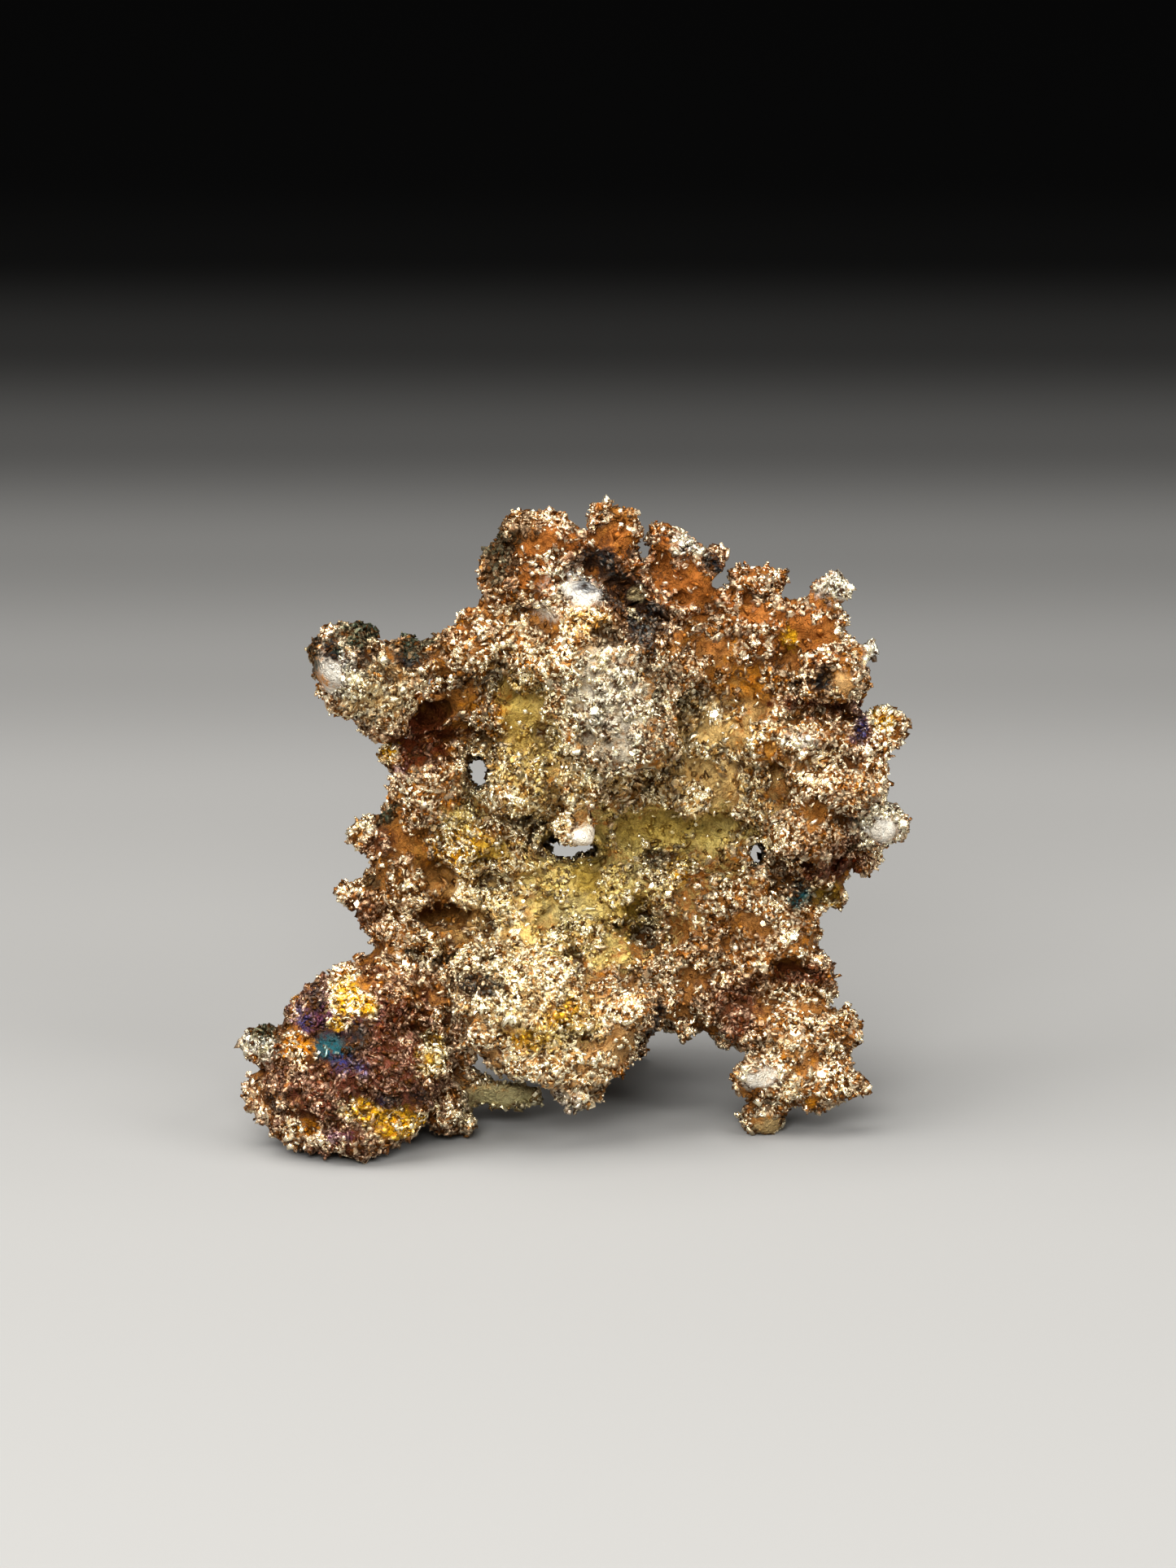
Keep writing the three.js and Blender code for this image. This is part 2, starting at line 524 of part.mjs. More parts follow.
// A closed mesh whose edges can be closed one by one.
class ThinningMesh {
  constructor({ corners, faceCorners }) {
    this.corners = corners;
    this.faces = [];
    this.facesAt = this.corners.map(() => new Set());
    this.sums = this.corners.map(() => new PlaneSum());
    for (let i = 0; i < faceCorners.length; i += 3) {
      this.addFace(faceCorners.slice(i, i + 3));
    }
    this.faceCount = this.faces.length;
  }

  addFace(face) {
    const triangle = this.triangleOf(face);
    const plane = triangle.getPlane(new THREE.Plane());
    for (const corner of face) {
      this.facesAt[corner].add(this.faces.length);
      this.sums[corner].addPlane(plane, triangle.getArea());
    }
    this.faces.push(face);
  }

  triangleOf(face) {
    return new THREE.Triangle(...face.map((corner) => this.corners[corner]));
  }

  neighboursOf(corner) {
    const around = [...this.facesAt[corner]].flatMap((face) => this.faces[face]);
    return new Set(around.filter((other) => other !== corner));
  }

  // The edge's best closing place, of its two ends and its middle, and what closing it there costs.
  closing(first, second) {
    const sum = new PlaneSum();
    sum.addSum(this.sums[first]);
    sum.addSum(this.sums[second]);
    const ends = [this.corners[first], this.corners[second]];
    const places = [...ends, ends[0].clone().lerp(ends[1], 0.5)];
    const costs = places.map((place) => Math.abs(sum.at(place)));
    const cost = Math.min(...costs);
    return { first, second, cost, place: places[costs.indexOf(cost)].clone() };
  }

  // Whether a face keeps its outward side when its corner moves.
  keepsSide(face, corner, place) {
    const before = this.triangleOf(face).getNormal(new THREE.Vector3());
    const places = face.map((other) => (other === corner ? place : this.corners[other]));
    const moved = new THREE.Triangle(...places);
    return before.dot(moved.getNormal(new THREE.Vector3())) > LEAST_ALIGNMENT;
  }

  canClose({ first, second, place }) {
    const shared = [...this.neighboursOf(first)].filter((corner) => this.neighboursOf(second).has(corner));
    const ends = [[first, second], [second, first]];
    return shared.length === 2 && ends.every(([corner, other]) => (
      [...this.facesAt[corner]].every((face) => (
        this.faces[face].includes(other) || this.keepsSide(this.faces[face], corner, place)
      ))
    ));
  }

  close({ first, second, place }) {
    for (const face of [...this.facesAt[second]]) {
      const corners = this.faces[face];
      if (corners.includes(first)) {
        corners.forEach((corner) => this.facesAt[corner].delete(face));
        this.faces[face] = null;
        this.faceCount -= 1;
      } else {
        this.faces[face] = corners.map((corner) => (corner === second ? first : corner));
        this.facesAt[first].add(face);
      }
    }
    this.facesAt[second].clear();
    this.corners[first].copy(place);
    this.sums[first].addSum(this.sums[second]);
  }

  // Closes a share of the edges, cheapest first, leaving those whose ends have just changed.
  runPass(faceTarget) {
    const edges = [];
    this.facesAt.forEach((_, corner) => {
      for (const other of this.neighboursOf(corner)) {
        if (corner < other) {
          edges.push(this.closing(corner, other));
        }
      }
    });
    edges.sort((a, b) => a.cost - b.cost);
    const changed = new Set();
    const before = this.faceCount;
    for (const edge of edges.slice(0, Math.ceil(SHARE_PER_PASS * edges.length))) {
      const isFresh = !changed.has(edge.first) && !changed.has(edge.second);
      if (this.faceCount > faceTarget && isFresh && this.canClose(edge)) {
        this.neighboursOf(edge.first).forEach((corner) => changed.add(corner));
        this.neighboursOf(edge.second).forEach((corner) => changed.add(corner));
        this.close(edge);
      }
    }
    return this.faceCount < before;
  }

  geometry() {
    const geometry = new THREE.BufferGeometry().setFromPoints(this.corners);
    geometry.setIndex(this.faces.filter((face) => face !== null).flat());
    return geometry;
  }
}

// The solid with far fewer faces, in one shell.
function thinned(whole) {
  const thinning = new ThinningMesh(surfaceOf(whole));
  let isThinning = true;
  while (isThinning && thinning.faceCount > FACE_COUNT) {
    isThinning = thinning.runPass(FACE_COUNT);
  }
  return solid(thinning.geometry().toNonIndexed());
}

// The solid as a geometry with its origin on the ground under the middle of its box.
function standingGeometry(whole) {
  const { corners, faceCorners } = surfaceOf(whole);
  const geometry = new THREE.BufferGeometry().setFromPoints(corners);
  geometry.setIndex(faceCorners);
  const flat = geometry.toNonIndexed();
  flat.computeBoundingBox();
  const middle = flat.boundingBox.getCenter(new THREE.Vector3());
  flat.translate(-middle.x, -middle.y, -flat.boundingBox.min.z);
  flat.computeVertexNormals();
  return flat;
}

function silverMaterial() {
  return new THREE.MeshStandardMaterial({
    color: SILVER_COLOUR,
    roughness: SILVER_ROUGHNESS,
    metalness: SILVER_METALNESS,
    flatShading: true,
  });
}

function silverNugget() {
  THREE.MathUtils.seededRandom(SEED);
  const front = [CROWN, RIGHT_SIDE, SHELF, NOSE, LEFT_ARM, LEFT_SIDE, BOWL, BULGE, LEFT_FOOT, RIGHT_FOOT];
  const frontLumps = front.flat().map((row) => lumpFromRow(row, leaningPlace));
  const backLumps = BACK.map((row) => lumpFromRow(row, uprightPlace));
  const lumps = [...frontLumps, ...backLumps];
  const hollows = HOLLOWS.map((row) => lumpFromRow(row, leaningPlace));
  const holes = HOLES.map((row) => lumpFromRow(row, leaningPlace));

  const joined = joinAll(lumps.map(lumpSolid)).subtract(joinAll(hollows.map(lumpSolid)));
  const knobs = scatterPlaces(joined, KNOB_COUNT, KNOB_SPACING).map(knobSolid);
  const body = blended(joined.add(joinAll(knobs)));
  const pits = scatterPlaces(body, PIT_COUNT, PIT_SPACING).map(pitSolid);
  const crystals = scatterPlaces(body, CRYSTAL_COUNT, CRYSTAL_SPACING).map(crystalSolid);
  const rough = body.subtract(joinAll(pits)).add(joinAll(crystals));
  const whole = thinned(rough.subtract(joinAll(holes.map(holeSolid))));

  const mesh = new THREE.Mesh(standingGeometry(whole.subtract(groundSlab())), silverMaterial());
  mesh.name = "silver_nugget";
  return mesh;
}

const nugget = new THREE.Group();
nugget.add(silverNugget());

export default nugget;
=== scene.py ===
# Finish of a native silver nugget: its spongy skin, its crust of fine crystals, its tarnish and its
# painted highlights and shade.
import math

import bmesh
import bpy
import numpy as np
from mathutils import Matrix, Vector, noise


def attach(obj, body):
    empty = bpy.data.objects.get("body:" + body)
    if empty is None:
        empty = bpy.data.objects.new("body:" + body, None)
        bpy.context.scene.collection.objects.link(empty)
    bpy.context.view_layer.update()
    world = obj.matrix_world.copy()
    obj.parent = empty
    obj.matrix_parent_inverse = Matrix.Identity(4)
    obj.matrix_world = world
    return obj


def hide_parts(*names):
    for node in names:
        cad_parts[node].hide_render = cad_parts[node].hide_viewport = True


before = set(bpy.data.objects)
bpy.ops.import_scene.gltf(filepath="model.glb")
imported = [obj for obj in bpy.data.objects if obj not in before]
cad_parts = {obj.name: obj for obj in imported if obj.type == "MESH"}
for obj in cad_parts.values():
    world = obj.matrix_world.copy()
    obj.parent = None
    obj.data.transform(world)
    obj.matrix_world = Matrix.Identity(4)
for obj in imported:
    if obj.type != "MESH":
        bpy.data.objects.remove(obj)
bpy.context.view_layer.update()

MM = 0.001

# The open bowl leans back. A place on it is given across, up the leaning plane and in depth, in mm.
LEAN = math.radians(17)
PLANE_FOOT = Vector((-0.125, 0.303, -1.90))  # where the leaning plane meets its own zero, in mm


def at(across, up, depth):
    """The place in the row frame, in metres, of a spot on the leaning plane."""
    height = (up - depth * math.sin(LEAN)) / math.cos(LEAN)
    return (Vector((across, depth, height)) + PLANE_FOOT) * MM


def on_plane(places):
    """How far across, up the leaning plane and deep each place lies, in mm."""
    across, depth, height = (places / MM - np.array(PLANE_FOOT)).T
    return across, height * math.cos(LEAN) + depth * math.sin(LEAN), depth


# ---------------------------------------------------------------------------------------------
# Camera, light and floor
# ---------------------------------------------------------------------------------------------

CAMERA_DISTANCE = 0.4
FRAME_HEIGHT = 0.0741  # height of the camera's frame at the nugget
SENSOR = 36.0
NEAREST_SEEN = 0.01
FURTHEST_SEEN = 20
AIM = (0.79, 17.17, 0.0)  # what the camera looks at, on the leaning plane


def make_camera():
    data = bpy.data.cameras.new("camera")
    data.sensor_width = SENSOR
    data.lens = SENSOR * CAMERA_DISTANCE / FRAME_HEIGHT
    data.clip_start = NEAREST_SEEN
    data.clip_end = FURTHEST_SEEN
    camera = bpy.data.objects.new("camera", data)
    bpy.context.scene.collection.objects.link(camera)
    toward_viewer = Vector((0, -math.cos(LEAN), math.sin(LEAN)))
    camera.location = at(*AIM) + toward_viewer * CAMERA_DISTANCE
    camera.rotation_euler = (-toward_viewer).to_track_quat("-Z", "Y").to_euler()
    bpy.context.scene.camera = camera


LIT_PLACE = (0, 0, 0.014)
SOFTBOXES = [  # name, place, width and height in metres, power in watts, colour
    ("top_softbox", (-0.05, -0.02, 0.42), (0.36, 0.32), 2.7, (1.0, 0.98, 0.94)),
    ("left_softbox", (-0.26, -0.08, 0.26), (0.24, 0.22), 1.35, (1.0, 0.98, 0.95)),
    ("right_softbox", (0.27, -0.12, 0.24), (0.20, 0.20), 1.0, (1.0, 0.98, 0.95)),
    ("front_softbox", (-0.06, -0.42, 0.30), (0.30, 0.18), 2.9, (1.0, 0.99, 0.96)),
]
STUDIO_AIR = (0.95, 0.97, 1.0, 1)
STUDIO_AIR_STRENGTH = 0.05


def add_softbox(name, place, size, power, colour):
    data = bpy.data.lights.new(name, "AREA")
    data.shape = "RECTANGLE"
    data.size, data.size_y = size
    data.energy = power
    data.color = colour
    light = bpy.data.objects.new(name, data)
    light.location = place
    light.rotation_euler = (Vector(LIT_PLACE) - Vector(place)).to_track_quat("-Z", "Y").to_euler()
    bpy.context.scene.collection.objects.link(light)


def make_lights():
    for softbox in SOFTBOXES:
        add_softbox(*softbox)
    world = bpy.data.worlds.new("studio_air")
    world.use_nodes = True
    background = world.node_tree.nodes["Background"]
    background.inputs["Color"].default_value = STUDIO_AIR
    background.inputs["Strength"].default_value = STUDIO_AIR_STRENGTH
    bpy.context.scene.world = world
    bpy.context.scene.view_settings.view_transform = "Standard"


FLOOR_HALF = 1.5
CARD_NEAR = -0.06  # the painted fade runs between these distances behind the nugget, in metres
CARD_FAR = 0.21
CARD_TINT = (1.0, 0.995, 0.98)  # the card is a little warm
CARD_ROUGHNESS = 0.8
CARD_SPECULAR = 0.03
CARD_PAINTED_FADE = [  # distance behind the nugget, and how pale the card is painted there: the fade to black is painted shade where the light falls off
    (-0.06, 0.245),
    (-0.02, 0.237),
    (0.00, 0.222),
    (0.025, 0.200),
    (0.05, 0.185),
    (0.075, 0.138),
    (0.10, 0.092),
    (0.125, 0.038),
    (0.15, 0.011),
    (0.175, 0.001),
    (0.20, 0.0),
]


def make_floor():
    shape = bmesh.new()
    bmesh.ops.create_grid(shape, x_segments=1, y_segments=1, size=FLOOR_HALF)
    mesh = bpy.data.meshes.new("floor")
    shape.to_mesh(mesh)
    shape.free()
    floor = bpy.data.objects.new("floor", mesh)
    bpy.context.scene.collection.objects.link(floor)
    material = bpy.data.materials.new("pale_card_painted_fade")
    material.use_nodes = True
    tree = material.node_tree
    shader = tree.nodes["Principled BSDF"]
    place = tree.nodes.new("ShaderNodeTexCoord")
    split = tree.nodes.new("ShaderNodeSeparateXYZ")
    tree.links.new(place.outputs["Object"], split.inputs[0])
    along = tree.nodes.new("ShaderNodeMapRange")
    along.inputs["From Min"].default_value = CARD_NEAR
    along.inputs["From Max"].default_value = CARD_FAR
    tree.links.new(split.outputs["Y"], along.inputs["Value"])
    # painted shade: the card is painted darker the further it lies behind the nugget
    tone = tree.nodes.new("ShaderNodeValToRGB")
    ramp = tone.color_ramp
    ramp.interpolation = "EASE"
    while len(ramp.elements) < len(CARD_PAINTED_FADE):
        ramp.elements.new(0.5)
    for stop, (distance, grey) in zip(ramp.elements, CARD_PAINTED_FADE):
        stop.position = (distance - CARD_NEAR) / (CARD_FAR - CARD_NEAR)
        stop.color = (*(grey * share for share in CARD_TINT), 1)
    tree.links.new(along.outputs["Result"], tone.inputs["Fac"])
    tree.links.new(tone.outputs["Color"], shader.inputs["Base Color"])
    shader.inputs["Roughness"].default_value = CARD_ROUGHNESS
    shader.inputs["Specular IOR Level"].default_value = CARD_SPECULAR
    mesh.materials.append(material)


# ---------------------------------------------------------------------------------------------
# Skin: the nugget's own form with its nodules, pits and ragged swellings
# ---------------------------------------------------------------------------------------------

WELD = 0.001 * MM
VOXEL = 0.208 * MM
SOFTEN_ROUNDS = 2
RELIEF_ROUNDS = 36  # how far the form is smoothed to find what stands out of it
RELIEF_GAIN = 0.55  # how much further out that is drawn, and how far at most
MOST_GAIN = 0.45 * MM
PIT_FILL = 0.7  # share of a filled pit's depth that goes
FILLED_PITS = [  # recesses made shallower: centre and reach, in mm
    ((-5.9, 11.0, -0.5), (2.2, 3.0, 1.3)),
    ((2.7, 10.8, -1.0), (1.5, 3.0, 1.5)),
    ((7.2, 10.3, -1.0), (1.5, 3.0, 1.5)),
    ((5.6, 8.0, -2.0), (1.2, 3.0, 1.2)),
    ((-3.9, 12.6, -0.5), (1.0, 3.0, 0.8)),
    ((-9.9, 2.0, -8.5), (1.0, 3.0, 1.0)),
]
SHRINK = 0.16 * MM  # room left for the crust inside the solid's outline
WARP = 0.35 * MM
WARP_SIZE = 1.1 * MM
WARP_SEED = 1795484726  # noise_vector takes its seed from the clock if none, or 0, is set
SWELL = 0.30 * MM
SWELL_SIZE = 2.1 * MM
NODULES = [(1.05 * MM, 0.50 * MM), (0.5 * MM, 0.27 * MM)]  # size and height
NODULE_REST = 0.28  # the skin is raised where a nodule is higher than this, and sunk elsewhere
CREST_ROUNDS = 10
CREST = 0.35 * MM  # from what counts as a full hollow to what counts as a full crest

# Smooth places with no crust: the centre on the leaning plane and the reach each way, in mm.
BARE_PATCHES = [
    ((0.6, 14.8, -3.5), (0.7, 1.6, 0.5)),  # tip of the tongue
    ((3.6, 18.2, -5.0), (0.9, 1.5, 0.4)),  # lower edge of the nose
    ((9.1, 3.3, -5.6), (1.0, 1.0, 0.6)),  # facet on the right foot
    ((14.6, 15.0, -2.4), (0.7, 1.3, 0.6)),  # pale lump at the right
    ((-3.4, 2.5, -3.8), (2.1, 1.6, 0.8)),  # rod beside the left foot
    ((9.2, 1.2, -4.0), (0.7, 1.6, 0.5)),  # tip of the right foot
    ((-11.3, 22.4, -3.0), (0.9, 1.6, 1.0)),  # facet of the left knob
    ((0.4, 26.2, -2.4), (1.45, 1.5, 0.7)),  # facet over the nose
    ((12.8, 21.9, -2.0), (0.6, 1.2, 0.6)),  # facet at the right
]
# Places where the form is made fuller, or sunk, before the crust grows: centre, reach, by how much.
FULLER = [
    ((0.3, 14.9, -3.4), (1.0, 2.0, 0.9), 0.30),  # tongue
    ((-1.3, 14.2, 0.0), (1.0, 4.0, 0.8), -0.50),  # opening under the tongue
    ((-3.4, 2.7, -3.5), (2.4, 2.0, 0.9), -0.12),  # rod
    ((9.2, 1.2, -3.6), (1.2, 1.8, 1.0), 0.25),  # tip of the right foot
    ((9.0, 3.3, -5.2), (1.2, 1.5, 0.9), 0.20),
    ((-11.0, 22.6, -2.0), (1.8, 2.2, 2.2), 0.30),  # left knob
    ((14.4, 15.3, -1.8), (1.6, 2.0, 1.6), 0.20),
    ((-6.6, 20.7, 2.5), (0.7, 4.0, 0.8), -0.32),  # recess in the arm
    ((-7.6, 22.0, -0.5), (0.7, 3.0, 0.5), 0.35),  # and the swelling over it
    ((-4.4, 17.6, 0.5), (0.9, 3.0, 1.2), -0.25),  # opening beside the nose
    ((8.8, 13.8, 0.0), (0.6, 3.0, 0.6), -0.20),  # opening in the waist
    ((-9.8, 9.8, 0.0), (0.55, 3.0, 0.6), -0.22),  # notch over the left foot
    ((1.9, 29.9, 0.5), (1.1, 1.5, 0.9), -0.35),  # second crown lobe
]

CLUSTER_SIZE = 1.5 * MM
CLUSTERING = 0.8
CREST_CROWDING = 0.8
USUAL_CROWDING = 0.50
SPARSEST = 0.06
# Places where the crystals are few, and places where they crowd: centre, reach and by how much.
CROWDING = [
    ((-6.8, 22.4, -0.5), (2.4, 4.0, 1.3), -0.22),  # top of the left arm
    ((4.8, 14.8, 0.5), (4.6, 5.0, 2.0), -0.55),  # mouth of the bowl
    ((3.0, 10.6, -1.5), (1.6, 4.0, 2.4), -0.5),  # crevice below it
    ((0.4, 12.3, 0.0), (3.4, 4.5, 2.4), -0.3),
    ((-2.6, 20.3, 0.0), (1.4, 3.5, 2.2), -0.4),
    ((7.2, 18.6, 0.0), (3.2, 5.0, 3.4), -0.3),
    ((-2.0, 18.6, 0.0), (2.6, 5.0, 4.0), -0.3),
    ((-1.6, 28.3, -1.5), (1.4, 2.5, 0.8), -0.9),  # windows in the crown's lobes
    ((-1.8, 26.4, -1.5), (1.2, 2.5, 0.9), -0.7),
    ((2.0, 28.4, 0.0), (1.3, 2.5, 0.8), -0.9),
    ((4.3, 27.8, 0.0), (0.9, 2.5, 1.1), -0.8),
    ((5.8, 26.2, 0.0), (1.4, 2.5, 0.9), -0.8),
    ((8.5, 25.1, 0.0), (1.2, 2.5, 0.7), -0.6),
    ((11.4, 24.3, 0.0), (1.4, 2.5, 1.0), -0.6),
    ((8.0, 21.8, -0.5), (2.2, 2.5, 1.2), -0.35),
    ((-6.6, 20.0, 1.0), (2.2, 4.0, 1.8), -0.5),  # recess under the arm
    ((-6.0, 11.0, 0.0), (2.0, 4.0, 1.4), -0.4),
    ((-11.2, 4.8, -7.0), (1.5, 4.0, 1.0), -0.4),  # left foot
    ((8.4, 24.6, 0.0), (7.0, 5.0, 3.4), -0.22),  # right half of the crown
    ((-7.6, 13.0, 0.0), (3.0, 5.0, 3.4), -0.15),  # left wall
    ((-2.6, 8.0, -7.5), (3.6, 4.0, 1.8), 0.35),  # top of the bulge
    ((-3.9, 4.6, -6.0), (1.3, 4.0, 2.0), -0.35),  # its smoother lower sides
    ((2.3, 4.6, -6.0), (1.4, 4.0, 1.6), -0.3),
    ((1.8, 20.4, -5.0), (2.6, 4.0, 3.0), -0.12),  # nose
    ((13.0, 18.0, -2.5), (2.4, 4.0, 2.4), 0.25),
]
GROOVES = [  # crevices: each end across and up the plane, half width and depth, in mm
    ((0.9, 27.4), (2.4, 26.2), 0.38, 0.7),
    ((2.4, 26.2), (4.2, 24.6), 0.38, 0.8),
    ((9.9, 20.3), (14.1, 20.8), 0.26, 0.7),
    ((8.2, 25.95), (9.3, 25.95), 0.18, 0.5),
    ((-5.7, 6.6), (-4.9, 3.0), 0.30, 0.6),
    ((11.3, 21.7), (12.2, 22.6), 0.28, 0.4),
    ((9.5, 8.4), (12.2, 8.1), 0.22, 0.5),
]
GROOVE_EDGE = 1.3  # a crevice ends this many half widths from its line
ALL_ROUND = 0.3  # share of a crevice's depth on metal that faces straight up or sideways
FACING = 2  # how much deeper it gets as the metal turns to the front


def distances(places, centre, reach):
    """How far each place lies from a centre on the leaning plane, as a share of the reach."""
    off = (places - np.array(at(*centre))) / (np.array(reach) * MM)
    return np.linalg.norm(off, axis=1)


def patches(places, spots):
    """For each place, 1 out to 0.8 of the reach of a patch, and 0 beyond 1.2 of every reach."""
    most = np.zeros(len(places))
    for centre, reach in spots:
        most = np.maximum(most, np.clip(3.0 - 2.5 * distances(places, centre, reach), 0, 1))
    return most


def crowding(places, rises):
    """How thickly the crystals crowd at each place: in clusters, and more on the crests."""
    total = USUAL_CROWDING + CREST_CROWDING * (rises - 0.5)
    clusters = [noise.noise(Vector(place) / CLUSTER_SIZE) for place in places]
    total += CLUSTERING * np.array(clusters)
    for centre, reach, amount in CROWDING:
        total += amount * np.clip(2.0 - 2.0 * distances(places, centre, reach), 0, 1)
    return np.clip(total, SPARSEST, 1)


def groove_depth(places, outward):
    """How deep the crevices on the nugget's front run at each place, in metres."""
    across, up, _ = on_plane(places)
    spot = np.stack([across, up], axis=1)
    deepest = np.zeros(len(places))
    for start, end, half_width, depth in GROOVES:
        start, along = np.array(start), np.array(end) - np.array(start)
        share = np.clip((spot - start) @ along / (along @ along), 0, 1)
        off = np.linalg.norm(spot - start - share[:, None] * along, axis=1) / half_width
        deepest = np.maximum(deepest, depth * np.clip(GROOVE_EDGE - off, 0, 1) * MM)
    return deepest * np.clip(ALL_ROUND - FACING * outward[:, 1], 0, 1)


def read_all(items, name, width=1, kind=float):
    """A value, or a row of values, from every item of one of a mesh's lists."""
    values = np.empty(len(items) * width, dtype=kind)
    items.foreach_get(name, values)
    return values.reshape(-1, width) if width > 1 else values


class Form:
    """A closed mesh whose corners are moved all together."""

    def __init__(self, mesh):
        self.mesh = mesh
        self.corners = read_all(mesh.vertices, "co", 3)
        ends = read_all(mesh.edges, "vertices", 2, np.int32)
        self.both = np.concatenate([ends[:, 0], ends[:, 1]])
        self.others = np.concatenate([ends[:, 1], ends[:, 0]])
        self.links = np.maximum(np.bincount(self.both, minlength=len(self.corners)), 1)

    def neighbour_mean(self, corners):
        sums = [
            np.bincount(self.both, weights=corners[self.others, axis], minlength=len(corners))
            for axis in range(3)
        ]
        return np.stack(sums, axis=1) / self.links[:, None]

    def smoothed(self, rounds):
        corners = self.corners
        for _ in range(rounds):
            corners = (corners + self.neighbour_mean(corners)) / 2
        return corners

    def outward(self):
        self.write()
        return read_all(self.mesh.vertex_normals, "vector", 3)

    def write(self):
        self.mesh.vertices.foreach_set("co", self.corners.ravel())
        self.mesh.update()


def nodule_height(place, size):
    """0 in the creases between nodules, up to about 1 in the middle of one."""
    near = noise.voronoi(place / size)[0]
    return near[1] - near[0]


def ruggedness(corner):
    """How far the skin stands out at a corner, before the bare patches are spared."""
    place = Vector(corner)
    warped = place + WARP * noise.noise_vector(place / WARP_SIZE)
    rise = SWELL * noise.noise(place / SWELL_SIZE)
    for size, height in NODULES:
        rise += height * (nodule_height(warped, size) - NODULE_REST)
    return rise


def remeshed(solid):
    """A new object of the solid's form with small even faces."""
    shape = bmesh.new()
    shape.from_mesh(solid.data)
    bmesh.ops.remove_doubles(shape, verts=shape.verts, dist=WELD)
    mesh = bpy.data.meshes.new("skin")
    shape.to_mesh(mesh)
    shape.free()
    skin = bpy.data.objects.new("spongy_skin", mesh)
    bpy.context.scene.collection.objects.link(skin)
    remesh = skin.modifiers.new("even_faces", "REMESH")
    remesh.mode = "VOXEL"
    remesh.voxel_size = VOXEL
    evaluated = skin.evaluated_get(bpy.context.evaluated_depsgraph_get())
    mesh = bpy.data.meshes.new_from_object(evaluated)
    skin.modifiers.clear()
    skin.data = mesh
    return skin


def make_skin(solid):
    skin = remeshed(solid)
    mesh = skin.data
    form = Form(mesh)
    form.corners = form.smoothed(SOFTEN_ROUNDS)
    standing_out = form.corners - form.smoothed(RELIEF_ROUNDS)
    proud = (standing_out * form.outward()).sum(axis=1)[:, None]
    amount = np.linalg.norm(standing_out, axis=1)[:, None]
    kept = np.minimum(1, MOST_GAIN / (RELIEF_GAIN * amount + 1e-12))
    fill = (PIT_FILL + RELIEF_GAIN) * patches(form.corners, FILLED_PITS)[:, None] * (proud < 0)
    gain = RELIEF_GAIN * kept - fill
    form.corners = form.corners + gain * standing_out
    rugged = 1 - patches(form.corners, BARE_PATCHES)
    noise.seed_set(WARP_SEED)
    rises = np.array([ruggedness(corner) for corner in form.corners])
    outward = form.outward()
    rises = rises * rugged - SHRINK - groove_depth(form.corners, outward)
    for centre, reach, amount in FULLER:
        rises += amount * MM * patches(form.corners, [(centre, reach)])
    form.corners = form.corners + outward * rises[:, None]
    form.corners[:, 2] = np.maximum(form.corners[:, 2], 0)
    outward = form.outward()
    crest = ((form.corners - form.smoothed(CREST_ROUNDS)) * outward).sum(axis=1) / CREST
    rises = np.clip(0.5 + crest, 0, 1)
    mark(mesh, "rise", rises)
    mark(mesh, "crowd", crowding(form.corners, rises) * rugged)
    mesh.shade_smooth()
    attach(skin, "root")
    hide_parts(solid.name)
    return skin


# ---------------------------------------------------------------------------------------------
# Crust: fine crystals grown all over the skin
# ---------------------------------------------------------------------------------------------

SEED = 7
PIECE_LIMIT = 190000  # most triangles in one piece of the crust
LOWEST_GRAIN = 0.18 * MM  # no crystal grows where the skin is nearer to the floor
UNEVEN = 0.55  # how much the corners of a crystal differ in their distance from its middle
FLAKE_TOP = 0.72
FLAKE_THICKNESS = 0.55
CUBE_EDGE = 1.3
WIRE_DROOP = 0.9
WIRE_SWAY = 0.5
WIRE_TURNS = 2.2
SPINE_BEADS = [(1.0, (0, 0, 0)), (0.85, (0.3, 0.1, 0.9)), (0.65, (0.2, -0.2, 1.6))]


def shape_of(bm):
    """The corners and faces of a small shape, which is then let go."""
    bmesh.ops.triangulate(bm, faces=bm.faces)
    bm.verts.ensure_lookup_table()
    corners = np.array([corner.co for corner in bm.verts])
    faces = np.array([[corner.index for corner in face.verts] for face in bm.faces])
    bm.free()
    return corners, faces


def grain_shape():
    """A small eight-sided bead, shaded round."""
    bm = bmesh.new()
    bmesh.ops.create_uvsphere(bm, u_segments=4, v_segments=2, radius=1)
    return shape_of(bm)


def flake_shape():
    """A thick five-sided flake lying flat, its upper face the smaller."""
    bm = bmesh.new()
    bmesh.ops.create_cone(
        bm, cap_ends=True, segments=5, radius1=1.0, radius2=FLAKE_TOP, depth=FLAKE_THICKNESS
    )
    return shape_of(bm)


def cube_shape():
    bm = bmesh.new()
    bmesh.ops.create_cube(bm, size=CUBE_EDGE)
    return shape_of(bm)


def wire_shape():
    """A short fat curl lying along X, with its tips bent down into the skin."""
    bm = bmesh.new()
    bmesh.ops.create_uvsphere(bm, u_segments=3, v_segments=4, radius=1)
    bmesh.ops.rotate(bm, verts=bm.verts, matrix=Matrix.Rotation(math.pi / 2, 3, "Y"))
    for corner in bm.verts:
        corner.co.z -= WIRE_DROOP * corner.co.x**2
        corner.co.y += WIRE_SWAY * math.sin(WIRE_TURNS * corner.co.x)
    return shape_of(bm)


def spine_shape():
    """Three beads of falling size grown in a leaning row, from the skin out."""
    bm = bmesh.new()
    for radius, place in SPINE_BEADS:
        bmesh.ops.create_uvsphere(
            bm, u_segments=4, v_segments=2, radius=radius, matrix=Matrix.Translation(place)
        )
    return shape_of(bm)


